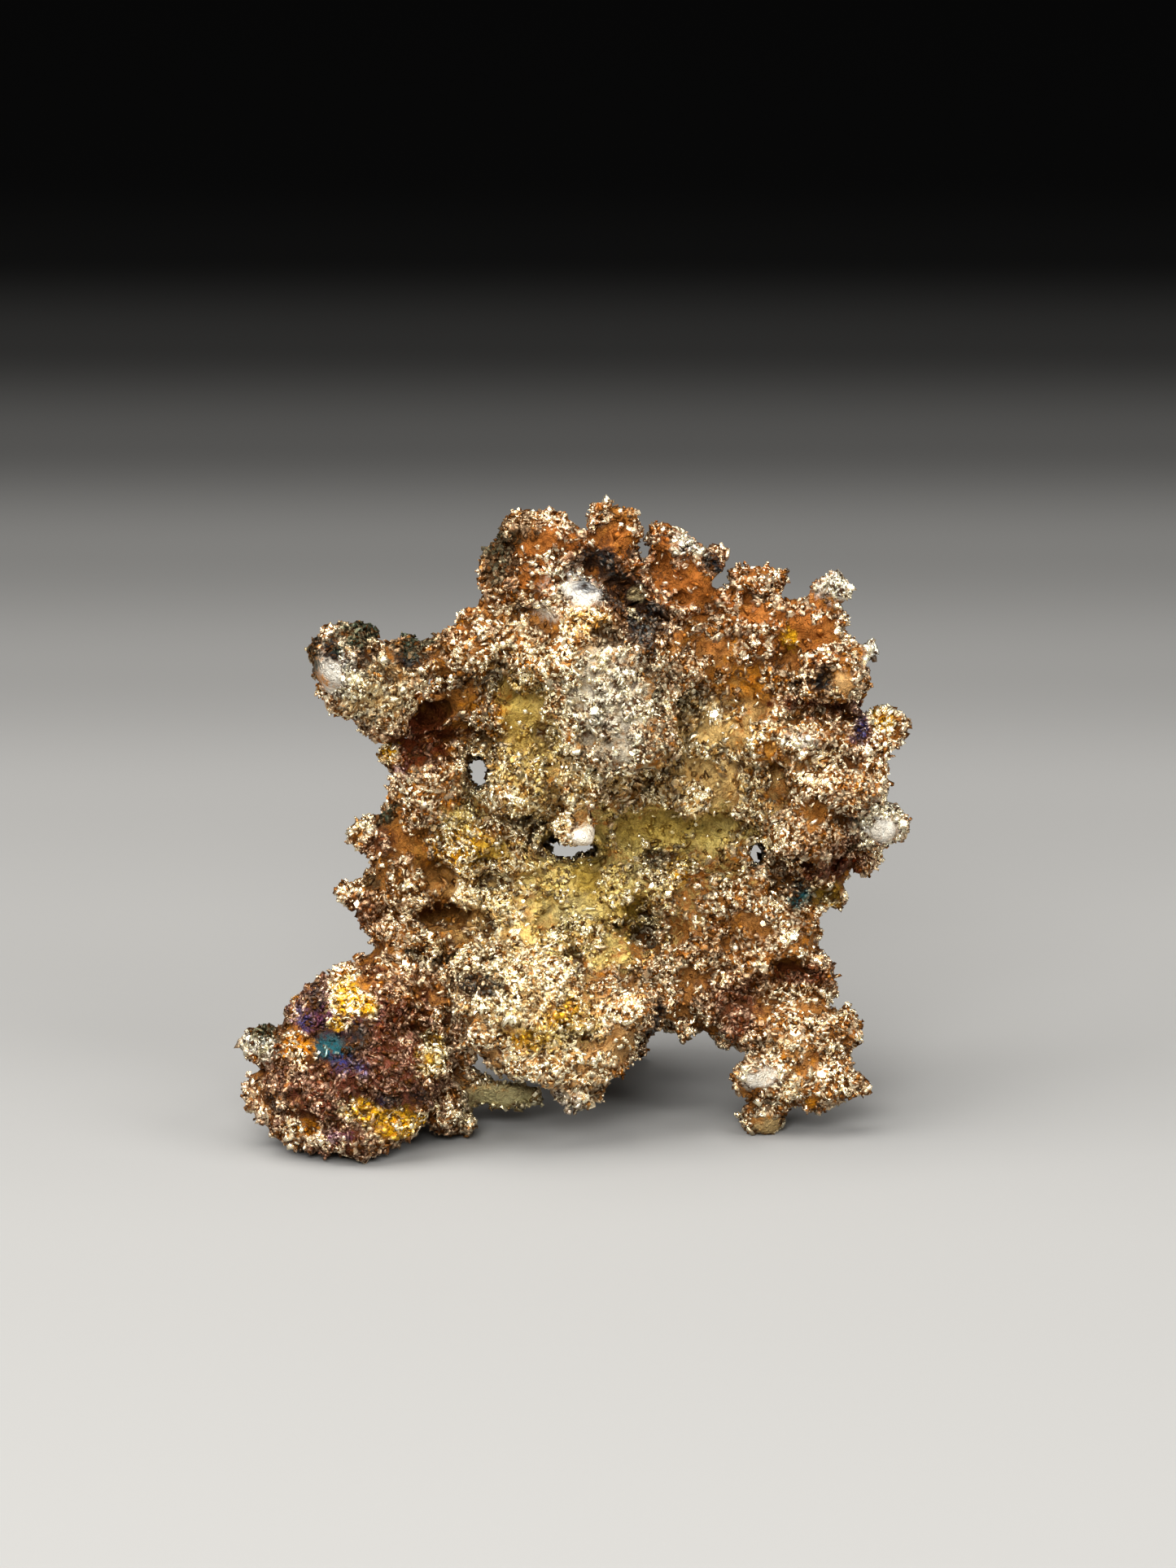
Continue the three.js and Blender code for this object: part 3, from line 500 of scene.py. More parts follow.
class Surface:
    """Places picked over a mesh, evenly or where its crests are."""

    def __init__(self, mesh, random):
        mesh.calc_loop_triangles()
        triangles = read_all(mesh.loop_triangles, "vertices", 3, np.int32)
        self.corners = read_all(mesh.vertices, "co", 3)[triangles]
        self.rises, self.crowds = (
            read_all(mesh.attributes[name].data, "value")[triangles].mean(axis=1)
            for name in ("rise", "crowd")
        )
        across = np.cross(
            self.corners[:, 1] - self.corners[:, 0], self.corners[:, 2] - self.corners[:, 0]
        )
        self.areas = np.linalg.norm(across, axis=1) / 2
        self.outward = across / (2 * self.areas[:, None] + 1e-18)
        self.random = random

    def pick(self, count, lowest_rise):
        """Places, ways out, rises and crowding, where the crystals crowd, none below the lowest."""
        share = self.areas * self.crowds
        share *= (self.rises > lowest_rise) * (self.crowds > SPARSEST / 2)
        share *= self.corners[:, :, 2].min(axis=1) > LOWEST_GRAIN
        faces = self.random.choice(len(share), size=count, p=share / share.sum())
        first = np.sqrt(self.random.random(count))[:, None]
        second = self.random.random(count)[:, None]
        a, b, c = (self.corners[faces, k] for k in range(3))
        places = (1 - first) * a + first * (1 - second) * b + first * second * c
        return places, self.outward[faces], self.rises[faces], self.crowds[faces]


def turns_along(outward, random, tilt):
    """A turn for each place: its third axis near the way out, the others anyhow."""
    leaning = outward + tilt * random.normal(size=outward.shape)
    up = leaning / np.linalg.norm(leaning, axis=1)[:, None]
    side = np.cross(up, random.normal(size=up.shape))
    side /= np.linalg.norm(side, axis=1)[:, None]
    return np.stack([side, np.cross(up, side), up], axis=2)


def mark(mesh, name, values):
    """A value kept at each corner of a mesh for its material to read."""
    mesh.attributes.new(name, "FLOAT", "POINT").data.foreach_set("value", values)


def grow(name, shape, places, turns, sizes, uneven, marks, material, rounded):
    """One piece of crust: a copy of the shape at every place, turned, stretched and dented."""
    corners, faces = shape
    stretched = corners[None] * sizes[:, None, :] * uneven
    placed = np.einsum("nij,nkj->nki", turns, stretched) + places[:, None, :]
    placed[:, :, 2] = np.maximum(placed[:, :, 2], 0)
    numbered = faces[None] + len(corners) * np.arange(len(places))[:, None, None]
    mesh = bpy.data.meshes.new(name)
    mesh.from_pydata(placed.reshape(-1, 3), [], numbered.reshape(-1, 3))
    for label, values in marks.items():
        mark(mesh, label, np.repeat(values, len(corners)))
    if rounded:
        mesh.shade_smooth()
    mesh.materials.append(material)
    piece = bpy.data.objects.new(name, mesh)
    bpy.context.scene.collection.objects.link(piece)
    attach(piece, "root")


# Name, shape, count, size from and to in mm, stretch, tilt, lift, lowest rise, shaded round.
CRUSTS = [
    ("crust_wires", wire_shape, 21000, (0.085, 0.145), (2.1, 0.45, 0.3), 0.25, 0.4, 0.0, True),
    ("crust_flakes", flake_shape, 9000, (0.11, 0.22), (0.6, 0.6, 0.3), 0.45, 0.2, 0.2, False),
    ("crust_grains", grain_shape, 20000, (0.08, 0.18), (0.8, 0.8, 0.8), 2.0, 0.15, 0.0, True),
    ("crust_cubes", cube_shape, 2000, (0.07, 0.15), (0.5, 0.5, 0.5), 2.0, 0.2, 0.3, False),
    ("crust_spines", spine_shape, 3000, (0.09, 0.15), (0.4, 0.4, 0.3), 0.45, 0.2, 0.62, True),
]


def make_crust(skin, material):
    random = np.random.default_rng(SEED)
    surface = Surface(skin.data, random)
    for name, make_shape, count, reach, stretch, tilt, lift, lowest_rise, rounded in CRUSTS:
        shape = make_shape()
        places, outward, rises, crowds = surface.pick(count, lowest_rise)
        size = (reach[0] + (reach[1] - reach[0]) * random.random(count) ** 2) * MM
        places = places + outward * (lift * size)[:, None]
        turns = turns_along(outward, random, tilt)
        sizes = size[:, None] * (1 + random.random((count, 3)) * np.array(stretch))
        marks = {"rise": rises, "crowd": crowds, "spark": random.random(count)}
        uneven = 1 + UNEVEN * (random.random((count, len(shape[0]), 1)) - 0.5)
        pieces = math.ceil(count * len(shape[1]) / PIECE_LIMIT)
        for number, part in enumerate(np.array_split(np.arange(count), pieces), start=1):
            here = {label: values[part] for label, values in marks.items()}
            grow(
                f"{name}_{number}", shape, places[part], turns[part], sizes[part],
                uneven[part], here, material, rounded,
            )


# ---------------------------------------------------------------------------------------------
# Metal, tarnish and painted light
# ---------------------------------------------------------------------------------------------

# white of bright silver facets and glints: painted highlight for the light they catch
PAINTED_GLINT_WHITE = (0.88, 0.82, 0.7)
# cream of the painted highlights on the curls and the bright crystals
PAINTED_HIGHLIGHT_CREAM = (1.0, 0.94, 0.68)
ROSE = (0.4, 0.175, 0.045)
BROWN = (0.25, 0.095, 0.016)
PALE = (0.8, 0.65, 0.34)
SILVER = (0.68, 0.665, 0.59)
BEIGE = (0.5, 0.43, 0.21)
TAN = (0.78, 0.55, 0.21)
PEACH = (0.74, 0.44, 0.17)
GOLD = (0.9, 0.5, 0.012)
AMBER = (0.56, 0.21, 0.005)
OCHRE = (0.54, 0.36, 0.045)
RUST = (0.305, 0.097, 0.016)
OLIVE = (0.80, 0.64, 0.21)
MAUVE = (0.105, 0.026, 0.016)
DARK_RED = (0.09, 0.014, 0.003)
BLUE = (0.035, 0.085, 0.15)
TEAL = (0.01, 0.065, 0.08)
INDIGO = (0.022, 0.022, 0.105)
PURPLE = (0.1, 0.026, 0.075)
MOSS = (0.016, 0.022, 0.013)
BLACK = (0.010, 0.010, 0.011)
UMBER = (0.060, 0.021, 0.004)
MOTTLE = (0.60, 0.44, 0.26)  # the colours are multiplied by this in fine dark flecks

# Stains over the rose metal: colour, centre on the leaning plane and reach each way in mm, strength.
STAINS = [
    # the bulge between the feet
    (PEACH, (-1.0, 5.0, -6.5), (5.5, 4.5, 4.2), 0.8),
    (PALE, (-2.8, 7.6, -6.0), (3.6, 4.0, 1.6), 0.7),
    (OLIVE, (-0.9, 5.3, -8.0), (2.4, 5.0, 1.2), 0.7),
    (GOLD, (-0.3, 6.2, -8.0), (1.2, 4.0, 0.7), 0.85),
    (GOLD, (-2.0, 5.2, -8.0), (1.2, 4.0, 0.7), 0.85),
    (PEACH, (2.5, 4.6, -6.0), (1.5, 3.0, 0.9), 0.9),
    (BLACK, (-4.2, 8.1, -5.5), (2.2, 4.0, 0.8), 1.0),
    (BLACK, (3.9, 5.6, -5.0), (0.8, 4.0, 1.3), 1.0),
    (AMBER, (2.3, 3.3, -5.0), (0.7, 2.5, 0.8), 0.95),
    (RUST, (-1.8, 2.6, -6.0), (0.6, 2.0, 0.6), 0.8),
    # painted highlight on a white facet of the bulge
    (PAINTED_GLINT_WHITE, (-0.4, 2.2, -6.5), (1.1, 2.0, 0.9), 0.8),
    # beige of the smooth rod: painted reflection of the pale floor
    (BEIGE, (-3.4, 2.4, -3.5), (3.0, 3.0, 1.3), 1.0),
    # the mouth of the bowl and the wall round it
    (TAN, (5.5, 18.5, 0.5), (5.0, 5.0, 4.0), 0.8),
    (TAN, (-1.5, 12.0, 0.0), (7.0, 5.0, 4.0), 0.7),
    (TAN, (-1.5, 18.0, 0.0), (4.6, 5.0, 5.0), 0.6),
    (OLIVE, (1.0, 12.0, -0.5), (4.2, 4.5, 3.2), 0.85),
    (OLIVE, (4.6, 14.6, 0.5), (5.0, 4.5, 1.7), 0.95),
    (OCHRE, (4.2, 14.8, 1.0), (2.8, 4.5, 0.8), 0.6),
    (OCHRE, (0.7, 12.4, -0.5), (0.8, 3.0, 1.2), 0.8),
    (OCHRE, (2.9, 10.8, -1.5), (0.9, 3.0, 1.5), 0.85),
    (BEIGE, (0.0, 10.8, -2.0), (1.4, 3.0, 1.0), 0.6),
    (BEIGE, (3.6, 12.8, -1.0), (1.3, 3.0, 0.6), 0.6),
    (GOLD, (5.0, 12.6, -1.0), (0.7, 3.0, 0.5), 0.7),
    (OLIVE, (-1.9, 19.6, -1.0), (2.5, 4.0, 4.2), 0.55),
    (OCHRE, (-2.6, 20.6, 0.0), (1.4, 4.0, 2.0), 0.5),
    (AMBER, (-4.1, 20.2, 0.5), (1.2, 4.0, 1.5), 0.95),
    (GOLD, (-5.3, 14.0, -1.5), (1.8, 4.0, 1.5), 0.9),
    (OCHRE, (-3.9, 13.8, -1.0), (1.3, 3.0, 0.7), 0.8),
    (OLIVE, (-5.2, 15.8, -0.5), (1.3, 3.0, 0.9), 0.7),
    # the left wall
    (BROWN, (-7.9, 13.0, 0.0), (3.0, 5.0, 3.2), 0.85),
    (BROWN, (-6.0, 11.2, 0.0), (1.8, 4.0, 1.0), 0.95),
    (DARK_RED, (-9.8, 11.2, -1.0), (0.9, 3.0, 1.1), 0.7),
    (MAUVE, (-9.2, 14.4, -1.5), (1.0, 3.0, 0.9), 0.7),
    (PALE, (-10.1, 14.9, -2.0), (0.7, 2.0, 0.8), 0.7),
    (MOSS, (-8.9, 16.2, 0.0), (0.8, 3.0, 1.1), 1.0),
    (MOSS, (-9.6, 12.4, -1.0), (0.6, 2.0, 0.4), 0.8),
    # the left arm
    (BROWN, (-7.2, 19.8, 1.0), (2.8, 5.0, 2.0), 0.95),
    (DARK_RED, (-7.3, 19.4, 1.0), (2.2, 5.0, 1.5), 0.95),
    (GOLD, (-8.7, 18.8, 0.0), (0.6, 2.5, 0.5), 0.8),
    (PURPLE, (-8.0, 18.2, 0.0), (0.5, 2.5, 0.4), 0.8),
    (PALE, (-9.2, 21.5, -2.5), (2.0, 4.0, 1.6), 0.65),
    (SILVER, (-11.0, 22.6, -3.0), (1.2, 2.2, 1.7), 0.85),
    (PEACH, (-8.0, 22.4, -2.0), (0.8, 2.0, 0.4), 0.7),
    (MOSS, (-12.3, 23.4, -2.0), (0.8, 4.0, 1.6), 0.95),
    (BLACK, (-11.2, 23.5, -3.0), (0.7, 2.0, 0.6), 1.0),
    (MOSS, (-9.6, 24.4, -1.5), (1.9, 5.0, 0.9), 1.0),
    (BLACK, (-7.5, 23.1, -1.5), (1.1, 2.6, 0.6), 1.0),
    (BLACK, (-9.8, 23.1, -2.5), (1.0, 2.0, 0.6), 0.85),
    (MOSS, (-7.2, 24.1, -0.5), (1.4, 5.0, 0.8), 1.0),
    # the nose and the crown above it
    (BEIGE, (1.8, 21.0, -4.6), (2.9, 3.5, 3.8), 0.6),
    (SILVER, (2.0, 21.0, -4.6), (2.2, 4.0, 3.4), 0.6),
    (PEACH, (-1.2, 23.0, -3.0), (0.8, 2.5, 0.8), 0.7),
    (RUST, (3.6, 27.2, 0.5), (7.0, 5.0, 2.8), 0.95),
    (RUST, (-1.2, 27.6, -1.0), (3.4, 5.0, 2.6), 0.8),
    (RUST, (10.0, 24.4, 0.0), (3.6, 4.0, 2.2), 0.8),
    (AMBER, (8.2, 21.7, -0.5), (2.0, 3.0, 1.1), 0.55),
    (AMBER, (9.3, 19.0, 0.0), (0.9, 3.0, 1.4), 0.7),
    (GOLD, (10.2, 23.6, -1.0), (0.5, 2.5, 0.8), 0.85),
    (SILVER, (0.4, 26.2, -2.4), (1.7, 1.8, 1.0), 0.9),
    (BLUE, (0.8, 26.5, -2.4), (1.2, 2.0, 0.5), 0.5),
    # painted glint on the nose
    (PAINTED_GLINT_WHITE, (-1.2, 25.1, -1.8), (0.8, 2.5, 0.6), 1.0),
    (PEACH, (0.7, 24.6, -3.4), (1.5, 2.5, 0.8), 1.0),
    (GOLD, (1.0, 24.7, -3.4), (1.0, 2.0, 0.6), 0.4),
    # painted shade: black along the crevice between the nose and the crown's lobes
    (BLACK, (1.3, 27.5, -0.5), (1.5, 5.0, 0.8), 1.0),
    (BLACK, (2.2, 26.6, -1.0), (1.0, 5.0, 1.1), 1.0),
    (BLACK, (2.9, 25.6, -1.5), (1.1, 5.0, 1.1), 1.0),
    (BLACK, (3.6, 24.7, -2.2), (1.3, 5.0, 1.1), 1.0),
    (PALE, (3.1, 25.5, -2.0), (0.5, 4.0, 0.4), 1.0),
    (MOSS, (-3.5, 28.2, 0.0), (1.0, 4.0, 2.0), 0.95),
    (MOSS, (-2.2, 29.4, 0.0), (0.8, 3.0, 0.6), 0.7),
    (BLACK, (6.7, 27.4, 0.0), (0.8, 3.0, 0.7), 1.0),
    (BLACK, (4.4, 24.9, -1.0), (0.4, 2.0, 0.7), 0.8),
    (SILVER, (5.4, 28.2, 0.0), (0.8, 2.0, 0.9), 0.95),
    (SILVER, (12.5, 26.3, 0.0), (1.0, 2.5, 0.9), 0.95),
    (SILVER, (14.3, 23.5, 0.0), (0.7, 2.0, 0.9), 0.95),
    # painted highlight on the smooth tip of the tongue
    (PAINTED_GLINT_WHITE, (0.6, 14.8, -3.5), (0.9, 2.0, 0.6), 0.9),
    # the right wall
    (BLACK, (11.8, 22.0, -2.0), (0.9, 2.5, 0.9), 1.0),
    (PEACH, (12.7, 21.9, -2.0), (0.7, 2.0, 0.8), 0.7),
    (DARK_RED, (11.6, 20.5, -2.0), (2.6, 3.0, 0.55), 1.0),
    (INDIGO, (13.7, 19.8, -2.0), (0.7, 3.0, 0.8), 1.0),
    (GOLD, (14.5, 20.2, -1.5), (0.7, 2.0, 0.7), 0.6),
    (SILVER, (14.4, 15.3, -2.0), (1.4, 2.5, 1.3), 0.9),
    (RUST, (12.9, 18.2, -2.5), (0.8, 2.0, 0.5), 0.7),
    (MAUVE, (12.6, 14.4, -1.5), (1.3, 2.5, 1.0), 0.7),
    (DARK_RED, (12.4, 13.2, -1.0), (2.3, 4.0, 0.9), 1.0),
    (OCHRE, (12.0, 11.7, -1.0), (1.0, 3.0, 0.7), 0.8),
    (TEAL, (10.9, 11.6, -1.5), (0.8, 4.0, 0.7), 1.0),
    (SILVER, (10.7, 19.0, -3.0), (1.1, 2.0, 0.35), 0.7),
    # the right foot
    (MAUVE, (7.6, 6.4, -3.0), (1.6, 3.5, 1.8), 0.85),
    (DARK_RED, (10.6, 8.0, -2.0), (2.4, 4.0, 0.6), 0.95),
    (PEACH, (10.2, 4.6, -5.0), (1.1, 2.0, 0.5), 0.7),
    (PEACH, (10.4, 3.0, -5.0), (0.6, 2.0, 0.9), 0.8),
    # painted highlight on the facet of the right foot
    (PAINTED_GLINT_WHITE, (9.0, 3.3, -5.5), (1.1, 1.5, 0.7), 1.0),
    (AMBER, (11.4, 2.0, -5.0), (0.5, 2.0, 0.4), 0.9),
    (BROWN, (9.2, 1.2, -3.6), (1.4, 2.0, 1.1), 0.5),
    # beige at the tip of the right foot: painted reflection of the pale floor
    (BEIGE, (9.4, 1.2, -3.6), (0.9, 1.8, 0.8), 0.5),
    # the left foot, with its bright tarnish
    (MAUVE, (-10.0, 3.8, -7.0), (6.6, 7.0, 4.6), 0.95),
    (OCHRE, (-6.5, 4.4, -6.0), (0.8, 2.5, 0.8), 0.8),
    (DARK_RED, (-8.0, 6.3, -5.0), (1.5, 3.0, 1.0), 0.8),
    (PURPLE, (-11.3, 6.2, -6.0), (2.0, 4.0, 1.4), 0.85),
    (BLACK, (-11.2, 5.0, -7.0), (1.9, 4.0, 1.2), 0.85),
    (INDIGO, (-12.5, 6.0, -6.0), (0.7, 2.5, 0.5), 0.95),
    (TEAL, (-11.2, 4.8, -7.0), (1.1, 2.5, 0.55), 1.0),
    (INDIGO, (-10.3, 4.3, -7.0), (1.1, 2.5, 0.5), 0.9),
    (GOLD, (-10.6, 7.2, -5.0), (0.8, 2.5, 0.9), 0.95),
    (GOLD, (-9.6, 6.8, -5.5), (0.5, 2.5, 0.5), 0.95),
    (GOLD, (-11.0, 6.0, -6.0), (0.5, 2.5, 0.3), 0.95),
    (AMBER, (-12.8, 4.9, -6.5), (0.8, 2.5, 0.8), 1.0),
    (GOLD, (-9.8, 1.9, -8.5), (1.1, 3.0, 0.6), 0.95),
    (GOLD, (-8.0, 1.4, -8.0), (1.5, 3.0, 0.9), 1.0),
    (AMBER, (-12.3, 1.0, -8.0), (0.8, 3.0, 0.5), 0.9),
    (PURPLE, (-10.9, 0.9, -8.0), (0.9, 3.0, 0.4), 0.85),
    (INDIGO, (-8.8, 2.5, -8.0), (0.5, 3.0, 0.3), 0.9),
    (SILVER, (-14.8, 5.1, -5.5), (0.9, 2.0, 0.9), 0.9),
    (MOSS, (-14.6, 5.9, -5.0), (1.3, 3.5, 0.8), 1.0),
    (BLACK, (-13.9, 2.4, -7.0), (0.8, 2.0, 0.5), 0.95),
    (BLACK, (-12.1, 6.9, -6.0), (0.7, 3.0, 0.6), 0.95),
    (BLACK, (-9.9, 5.6, -6.5), (0.7, 3.0, 0.6), 0.95),
    (BLACK, (-8.5, 2.8, -7.5), (0.9, 3.0, 0.5), 0.95),
    (BLACK, (-7.0, 2.9, -6.5), (0.7, 3.0, 1.0), 0.9),
]


# How large each pattern of the tarnish and of its painted highlights is.
CLOUD_SIZE = 2.2 * MM
GLINT_CLUSTER_SIZE = 1.3 * MM
BLOTCH_SIZE = 0.8 * MM
CURL_SIZE = 0.60 * MM
CURL_BREAK_SIZE = 0.45 * MM
FLECK_SIZE = 0.36 * MM
BEAD_SIZE = 0.32 * MM
SPECK_SIZE = 0.30 * MM
GRAIN_SIZE = 0.14 * MM
CURL_RELIEF = 0.5  # height of a curl beside the grain's
DULLEST = 0.50  # roughness of the dull metal and of the brightest
BRIGHTEST = 0.24
HUE, SATURATION, VALUE = range(3)


def new_group(name, inputs, outputs):
    group = bpy.data.node_groups.new(name, "ShaderNodeTree")
    for label, kind in inputs:
        group.interface.new_socket(label, in_out="INPUT", socket_type=kind)
    for label, kind in outputs:
        group.interface.new_socket(label, in_out="OUTPUT", socket_type=kind)
    return group, group.nodes.new("NodeGroupInput"), group.nodes.new("NodeGroupOutput")


def vector_math(tree, operation, first, second=None):
    step = tree.nodes.new("ShaderNodeVectorMath")
    step.operation = operation
    tree.links.new(first, step.inputs[0])
    if second is not None:
        tree.links.new(second, step.inputs[1])
    return step.outputs["Value" if operation == "LENGTH" else "Vector"]


def math_step(tree, operation, first, second):
    step = tree.nodes.new("ShaderNodeMath")
    step.operation = operation
    for socket, value in zip(step.inputs, (first, second)):
        if isinstance(value, (int, float)):
            socket.default_value = value
        else:
            tree.links.new(value, socket)
    return step.outputs[0]


def between(tree, value, low, high, bottom=0.0, top=1.0):
    """The value brought from low..high to bottom..top with soft ends."""
    step = tree.nodes.new("ShaderNodeMapRange")
    step.interpolation_type = "SMOOTHSTEP"
    for label, number in (("From Min", low), ("From Max", high), ("To Min", bottom), ("To Max", top)):
        step.inputs[label].default_value = number
    tree.links.new(value, step.inputs["Value"])
    return step.outputs["Result"]


def mixed(tree, factor, first, second, blend="MIX"):
    step = tree.nodes.new("ShaderNodeMix")
    step.data_type = "RGBA"
    step.blend_type = blend
    for label, value in (("Factor", factor), ("A", first), ("B", second)):
        socket = next(s for s in step.inputs if s.name == label and s.enabled)
        if isinstance(value, tuple):
            socket.default_value = (*value, 1)
        elif isinstance(value, (int, float)):
            socket.default_value = value
        else:
            tree.links.new(value, socket)
    return next(s for s in step.outputs if s.enabled)


def fine_noise(tree, place, size, detail=3.0, roughness=0.6, distortion=0.0):
    step = tree.nodes.new("ShaderNodeTexNoise")
    step.inputs["Scale"].default_value = 1 / size
    step.inputs["Detail"].default_value = detail
    step.inputs["Roughness"].default_value = roughness
    step.inputs["Distortion"].default_value = distortion
    tree.links.new(place, step.inputs["Vector"])
    return step.outputs["Fac"]


STAIN_DEPTH = 1.4  # how much further than its listed reach a stain goes into the nugget


def stain_group():
    """A soft-edged stain: a colour laid over another around a place, with a ragged edge."""
    group, taken, given = new_group(
        "stain",
        [
            ("Under", "NodeSocketColor"),
            ("Stain", "NodeSocketColor"),
            ("Place", "NodeSocketVector"),
            ("Centre", "NodeSocketVector"),
            ("Reach", "NodeSocketVector"),
            ("Ragged", "NodeSocketFloat"),
            ("Strength", "NodeSocketFloat"),
        ],
        [("Color", "NodeSocketColor")],
    )
    off = vector_math(group, "SUBTRACT", taken.outputs["Place"], taken.outputs["Centre"])
    scaled = vector_math(group, "DIVIDE", off, taken.outputs["Reach"])
    distance = vector_math(group, "LENGTH", scaled)
    ragged = math_step(group, "ADD", distance, taken.outputs["Ragged"])
    mask = between(group, ragged, 0.45, 1.2, 1.0, 0.0)
    amount = math_step(group, "MULTIPLY", mask, taken.outputs["Strength"])
    colour = mixed(group, amount, taken.outputs["Under"], taken.outputs["Stain"])
    group.links.new(colour, given.inputs["Color"])
    return group


def curls_group():
    """Fine curling ridges and beads, raised in the relief and painted bright as highlights: 1 on them
    and 0 between.
    """
    group, taken, given = new_group(
        "raised_curls_painted_bright", [("Place", "NodeSocketVector")], [("Mask", "NodeSocketFloat")]
    )
    place = taken.outputs["Place"]
    wandering = fine_noise(group, place, CURL_SIZE, 2.0, 0.5, 0.8)
    off = math_step(group, "ABSOLUTE", math_step(group, "SUBTRACT", wandering, 0.5), 0)
    line = between(group, off, 0.080, 0.030)
    broken = between(group, fine_noise(group, place, CURL_BREAK_SIZE, 2.0), 0.45, 0.53)
    curls = math_step(group, "MULTIPLY", line, broken)
    beads = between(group, fine_noise(group, place, BEAD_SIZE, 1.0), 0.60, 0.66)
    group.links.new(math_step(group, "MAXIMUM", curls, beads), given.inputs["Mask"])
    return group


def tarnish_and_light_group(stain, raised_curls_painted_bright):
    """The nugget's colours by place with painted highlights and painted shade in the hollows, the
    roughness that goes with them and a fine relief.
    """
    group, taken, given = new_group(
        "silver_tarnish_and_painted_light",
        [
            ("Place", "NodeSocketVector"),
            ("Rise", "NodeSocketFloat"),
            ("Crowd", "NodeSocketFloat"),
            ("Spark", "NodeSocketFloat"),
        ],
        [
            ("Color", "NodeSocketColor"),
            ("Roughness", "NodeSocketFloat"),
            ("Relief", "NodeSocketFloat"),
        ],
    )
    place = taken.outputs["Place"]
    clouds = fine_noise(group, place, CLOUD_SIZE, 4.0)
    blotches = fine_noise(group, place, BLOTCH_SIZE, 3.0)
    specks = fine_noise(group, place, SPECK_SIZE, 3.0, 0.65)
    coarse = math_step(group, "MULTIPLY", math_step(group, "SUBTRACT", blotches, 0.5), 2.0)
    fine = math_step(group, "MULTIPLY", math_step(group, "SUBTRACT", specks, 0.5), 1.6)
    ragged = math_step(group, "ADD", coarse, fine)

    # the metal's own colours, and the stains laid over them one by one
    colour = mixed(group, between(group, clouds, 0.4, 0.62), ROSE, BROWN)
    colour = mixed(group, between(group, blotches, 0.56, 0.7, 0, 0.5), colour, AMBER)
    for tint, centre, reach, strength in STAINS:
        step = group.nodes.new("ShaderNodeGroup")
        step.node_tree = stain
        step.inputs["Stain"].default_value = (*tint, 1)
        step.inputs["Centre"].default_value = at(*centre)
        step.inputs["Reach"].default_value = Vector(reach) * Vector((1, STAIN_DEPTH, 1)) * MM
        step.inputs["Strength"].default_value = strength
        group.links.new(colour, step.inputs["Under"])
        group.links.new(place, step.inputs["Place"])
        group.links.new(ragged, step.inputs["Ragged"])
        colour = step.outputs["Color"]

    # fine flecks, fewer on the bare patches
    settled = between(group, taken.outputs["Crowd"], 0.0, 0.28, 0.25, 1.0)
    flecks = fine_noise(group, place, FLECK_SIZE, 2.0, 0.6, 0.6)
    mottle = math_step(group, "MULTIPLY", between(group, flecks, 0.52, 0.42, 0, 0.8), settled)
    colour = mixed(group, mottle, colour, MOTTLE, "MULTIPLY")

    # painted highlight: cream, tinted by the colour that it lies on
    brightness = group.nodes.new("ShaderNodeRGBToBW")
    group.links.new(colour, brightness.inputs["Color"])
    glint_by_brightness = between(group, brightness.outputs["Val"], 0.02, 0.11, 0.08, 1.0)
    own = group.nodes.new("ShaderNodeSeparateColor")
    own.mode = "HSV"
    group.links.new(colour, own.inputs[0])
    pure = group.nodes.new("ShaderNodeCombineColor")
    pure.mode = "HSV"
    pure.inputs[VALUE].default_value = 1.0
    for part in (HUE, SATURATION):
        group.links.new(own.outputs[part], pure.inputs[part])
    dark_tint = between(group, own.outputs[VALUE], 0.30, 0.14, 0.14, 0.40)
    light_tint = between(group, own.outputs[VALUE], 0.66, 0.82, 0.0, 0.75)
    tint = math_step(group, "MAXIMUM", dark_tint, light_tint)
    painted_glint_colour = mixed(group, tint, PAINTED_HIGHLIGHT_CREAM, pure.outputs[0])

    # grime between the crystals, on the dull ones, and painted shade in the hollows where the rise is
    # low
    spark = taken.outputs["Spark"]
    grime = math_step(group, "MULTIPLY", between(group, specks, 0.52, 0.44, 0, 0.95), settled)
    dull = between(group, spark, 0.25, 0.10, 0, 0.6)
    # painted shade: darker toward umber where the skin lies in a hollow
    low = between(group, taken.outputs["Rise"], 0.40, 0.08, 0, 0.85)
    low = math_step(group, "MULTIPLY", low, settled)
    for amount in (grime, dull, low):
        colour = mixed(group, amount, colour, UMBER)

    # where the painted highlight shows: on the curls where crystals crowd, and on the bright crystals
    step = group.nodes.new("ShaderNodeGroup")
    step.node_tree = raised_curls_painted_bright
    group.links.new(place, step.inputs["Place"])
    curls = step.outputs["Mask"]
    grown = between(group, taken.outputs["Crowd"], 0.08, 0.55)
    glint_clusters = between(group, fine_noise(group, place, GLINT_CLUSTER_SIZE, 2.0), 0.40, 0.56, 0.35, 1.0)
    painted_glint = math_step(group, "MULTIPLY", curls, grown)
    painted_glint = math_step(group, "MAXIMUM", painted_glint, between(group, spark, 0.50, 0.70))
    for amount in (glint_by_brightness, glint_clusters):
        painted_glint = math_step(group, "MULTIPLY", painted_glint, amount)
    # painted highlight laid over the colour
    group.links.new(mixed(group, painted_glint, colour, painted_glint_colour), given.inputs["Color"])
    roughness = between(group, painted_glint, 0.0, 1.0, DULLEST, BRIGHTEST)
    group.links.new(roughness, given.inputs["Roughness"])
    grain = fine_noise(group, place, GRAIN_SIZE, 3.0, 0.7)
    relief = math_step(group, "ADD", grain, math_step(group, "MULTIPLY", curls, CURL_RELIEF))
    group.links.new(relief, given.inputs["Relief"])
    return group


def read_value(tree, name):
    """The value marked at each corner of the piece under this name."""
    step = tree.nodes.new("ShaderNodeAttribute")
    step.attribute_name = name
    return step.outputs["Fac"]


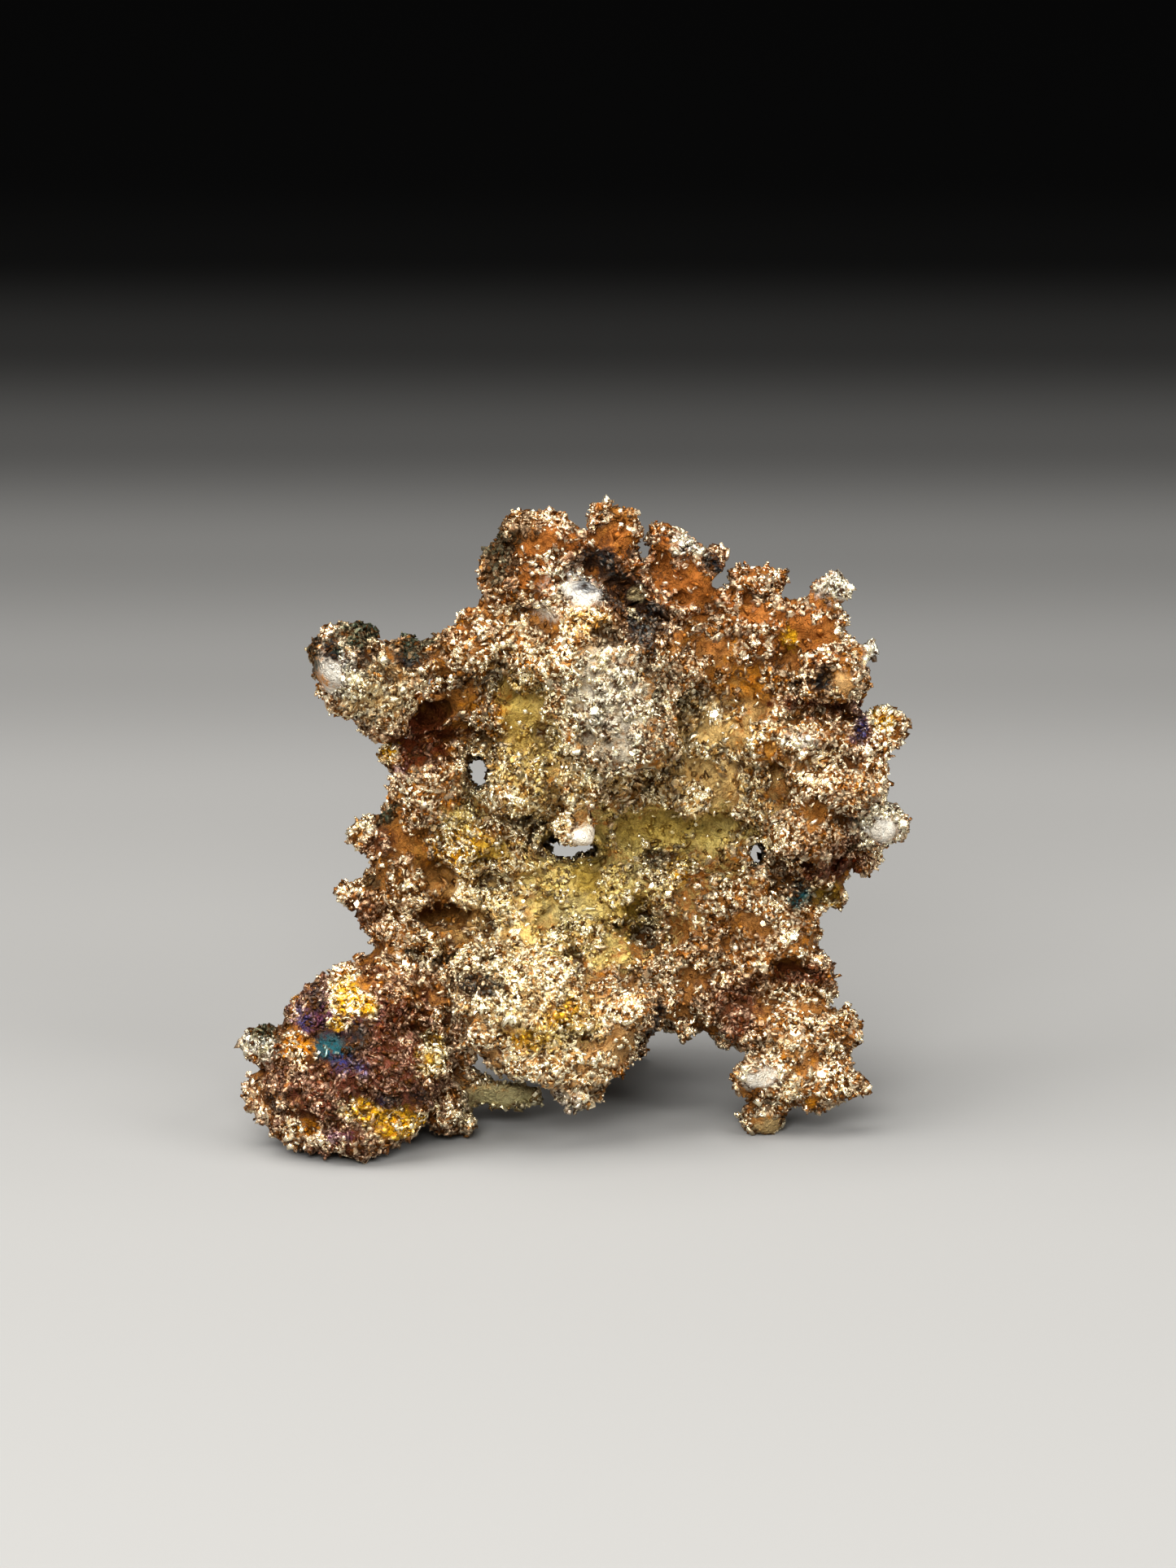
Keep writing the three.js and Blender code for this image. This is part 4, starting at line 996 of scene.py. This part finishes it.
SKIN_SPARK = 0.4  # neither a dull crystal nor a bright one
METAL_SPECULAR = 0.1
SKIN_RELIEF = 0.10 * MM
SKIN_METALLIC = 0.55
CRYSTAL_RELIEF = 0.03 * MM
CRYSTAL_METALLIC = 0.88


def metal(name, tarnish_and_light, relief_height, metallic, marks):
    """Tarnished silver with painted highlights and shade, which reads the marks that its piece
    carries.
    """
    material = bpy.data.materials.new(name)
    material.use_nodes = True
    tree = material.node_tree
    shader = tree.nodes["Principled BSDF"]
    colours = tree.nodes.new("ShaderNodeGroup")
    colours.node_tree = tarnish_and_light
    place = tree.nodes.new("ShaderNodeTexCoord").outputs["Object"]
    tree.links.new(place, colours.inputs["Place"])
    colours.inputs["Spark"].default_value = SKIN_SPARK
    for mark_name, socket in marks:
        tree.links.new(read_value(tree, mark_name), colours.inputs[socket])
    tree.links.new(colours.outputs["Color"], shader.inputs["Base Color"])
    tree.links.new(colours.outputs["Roughness"], shader.inputs["Roughness"])
    bump = tree.nodes.new("ShaderNodeBump")
    bump.inputs["Distance"].default_value = relief_height
    bump.inputs["Strength"].default_value = 1.0
    tree.links.new(colours.outputs["Relief"], bump.inputs["Height"])
    tree.links.new(bump.outputs["Normal"], shader.inputs["Normal"])
    shader.inputs["Metallic"].default_value = metallic
    shader.inputs["Specular IOR Level"].default_value = METAL_SPECULAR
    return material


# ---------------------------------------------------------------------------------------------
# The nugget in its studio
# ---------------------------------------------------------------------------------------------

make_camera()
make_lights()
make_floor()
tarnish_and_light = tarnish_and_light_group(stain_group(), curls_group())
SKIN_MARKS = [("rise", "Rise"), ("crowd", "Crowd")]
CRYSTAL_MARKS = [*SKIN_MARKS, ("spark", "Spark")]
skin_metal = metal("skin_metal", tarnish_and_light, SKIN_RELIEF, SKIN_METALLIC, SKIN_MARKS)
crystal_metal = metal("crystal_metal", tarnish_and_light, CRYSTAL_RELIEF, CRYSTAL_METALLIC, CRYSTAL_MARKS)
skin = make_skin(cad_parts["silver_nugget"])
skin.data.materials.clear()
skin.data.materials.append(skin_metal)
make_crust(skin, crystal_metal)
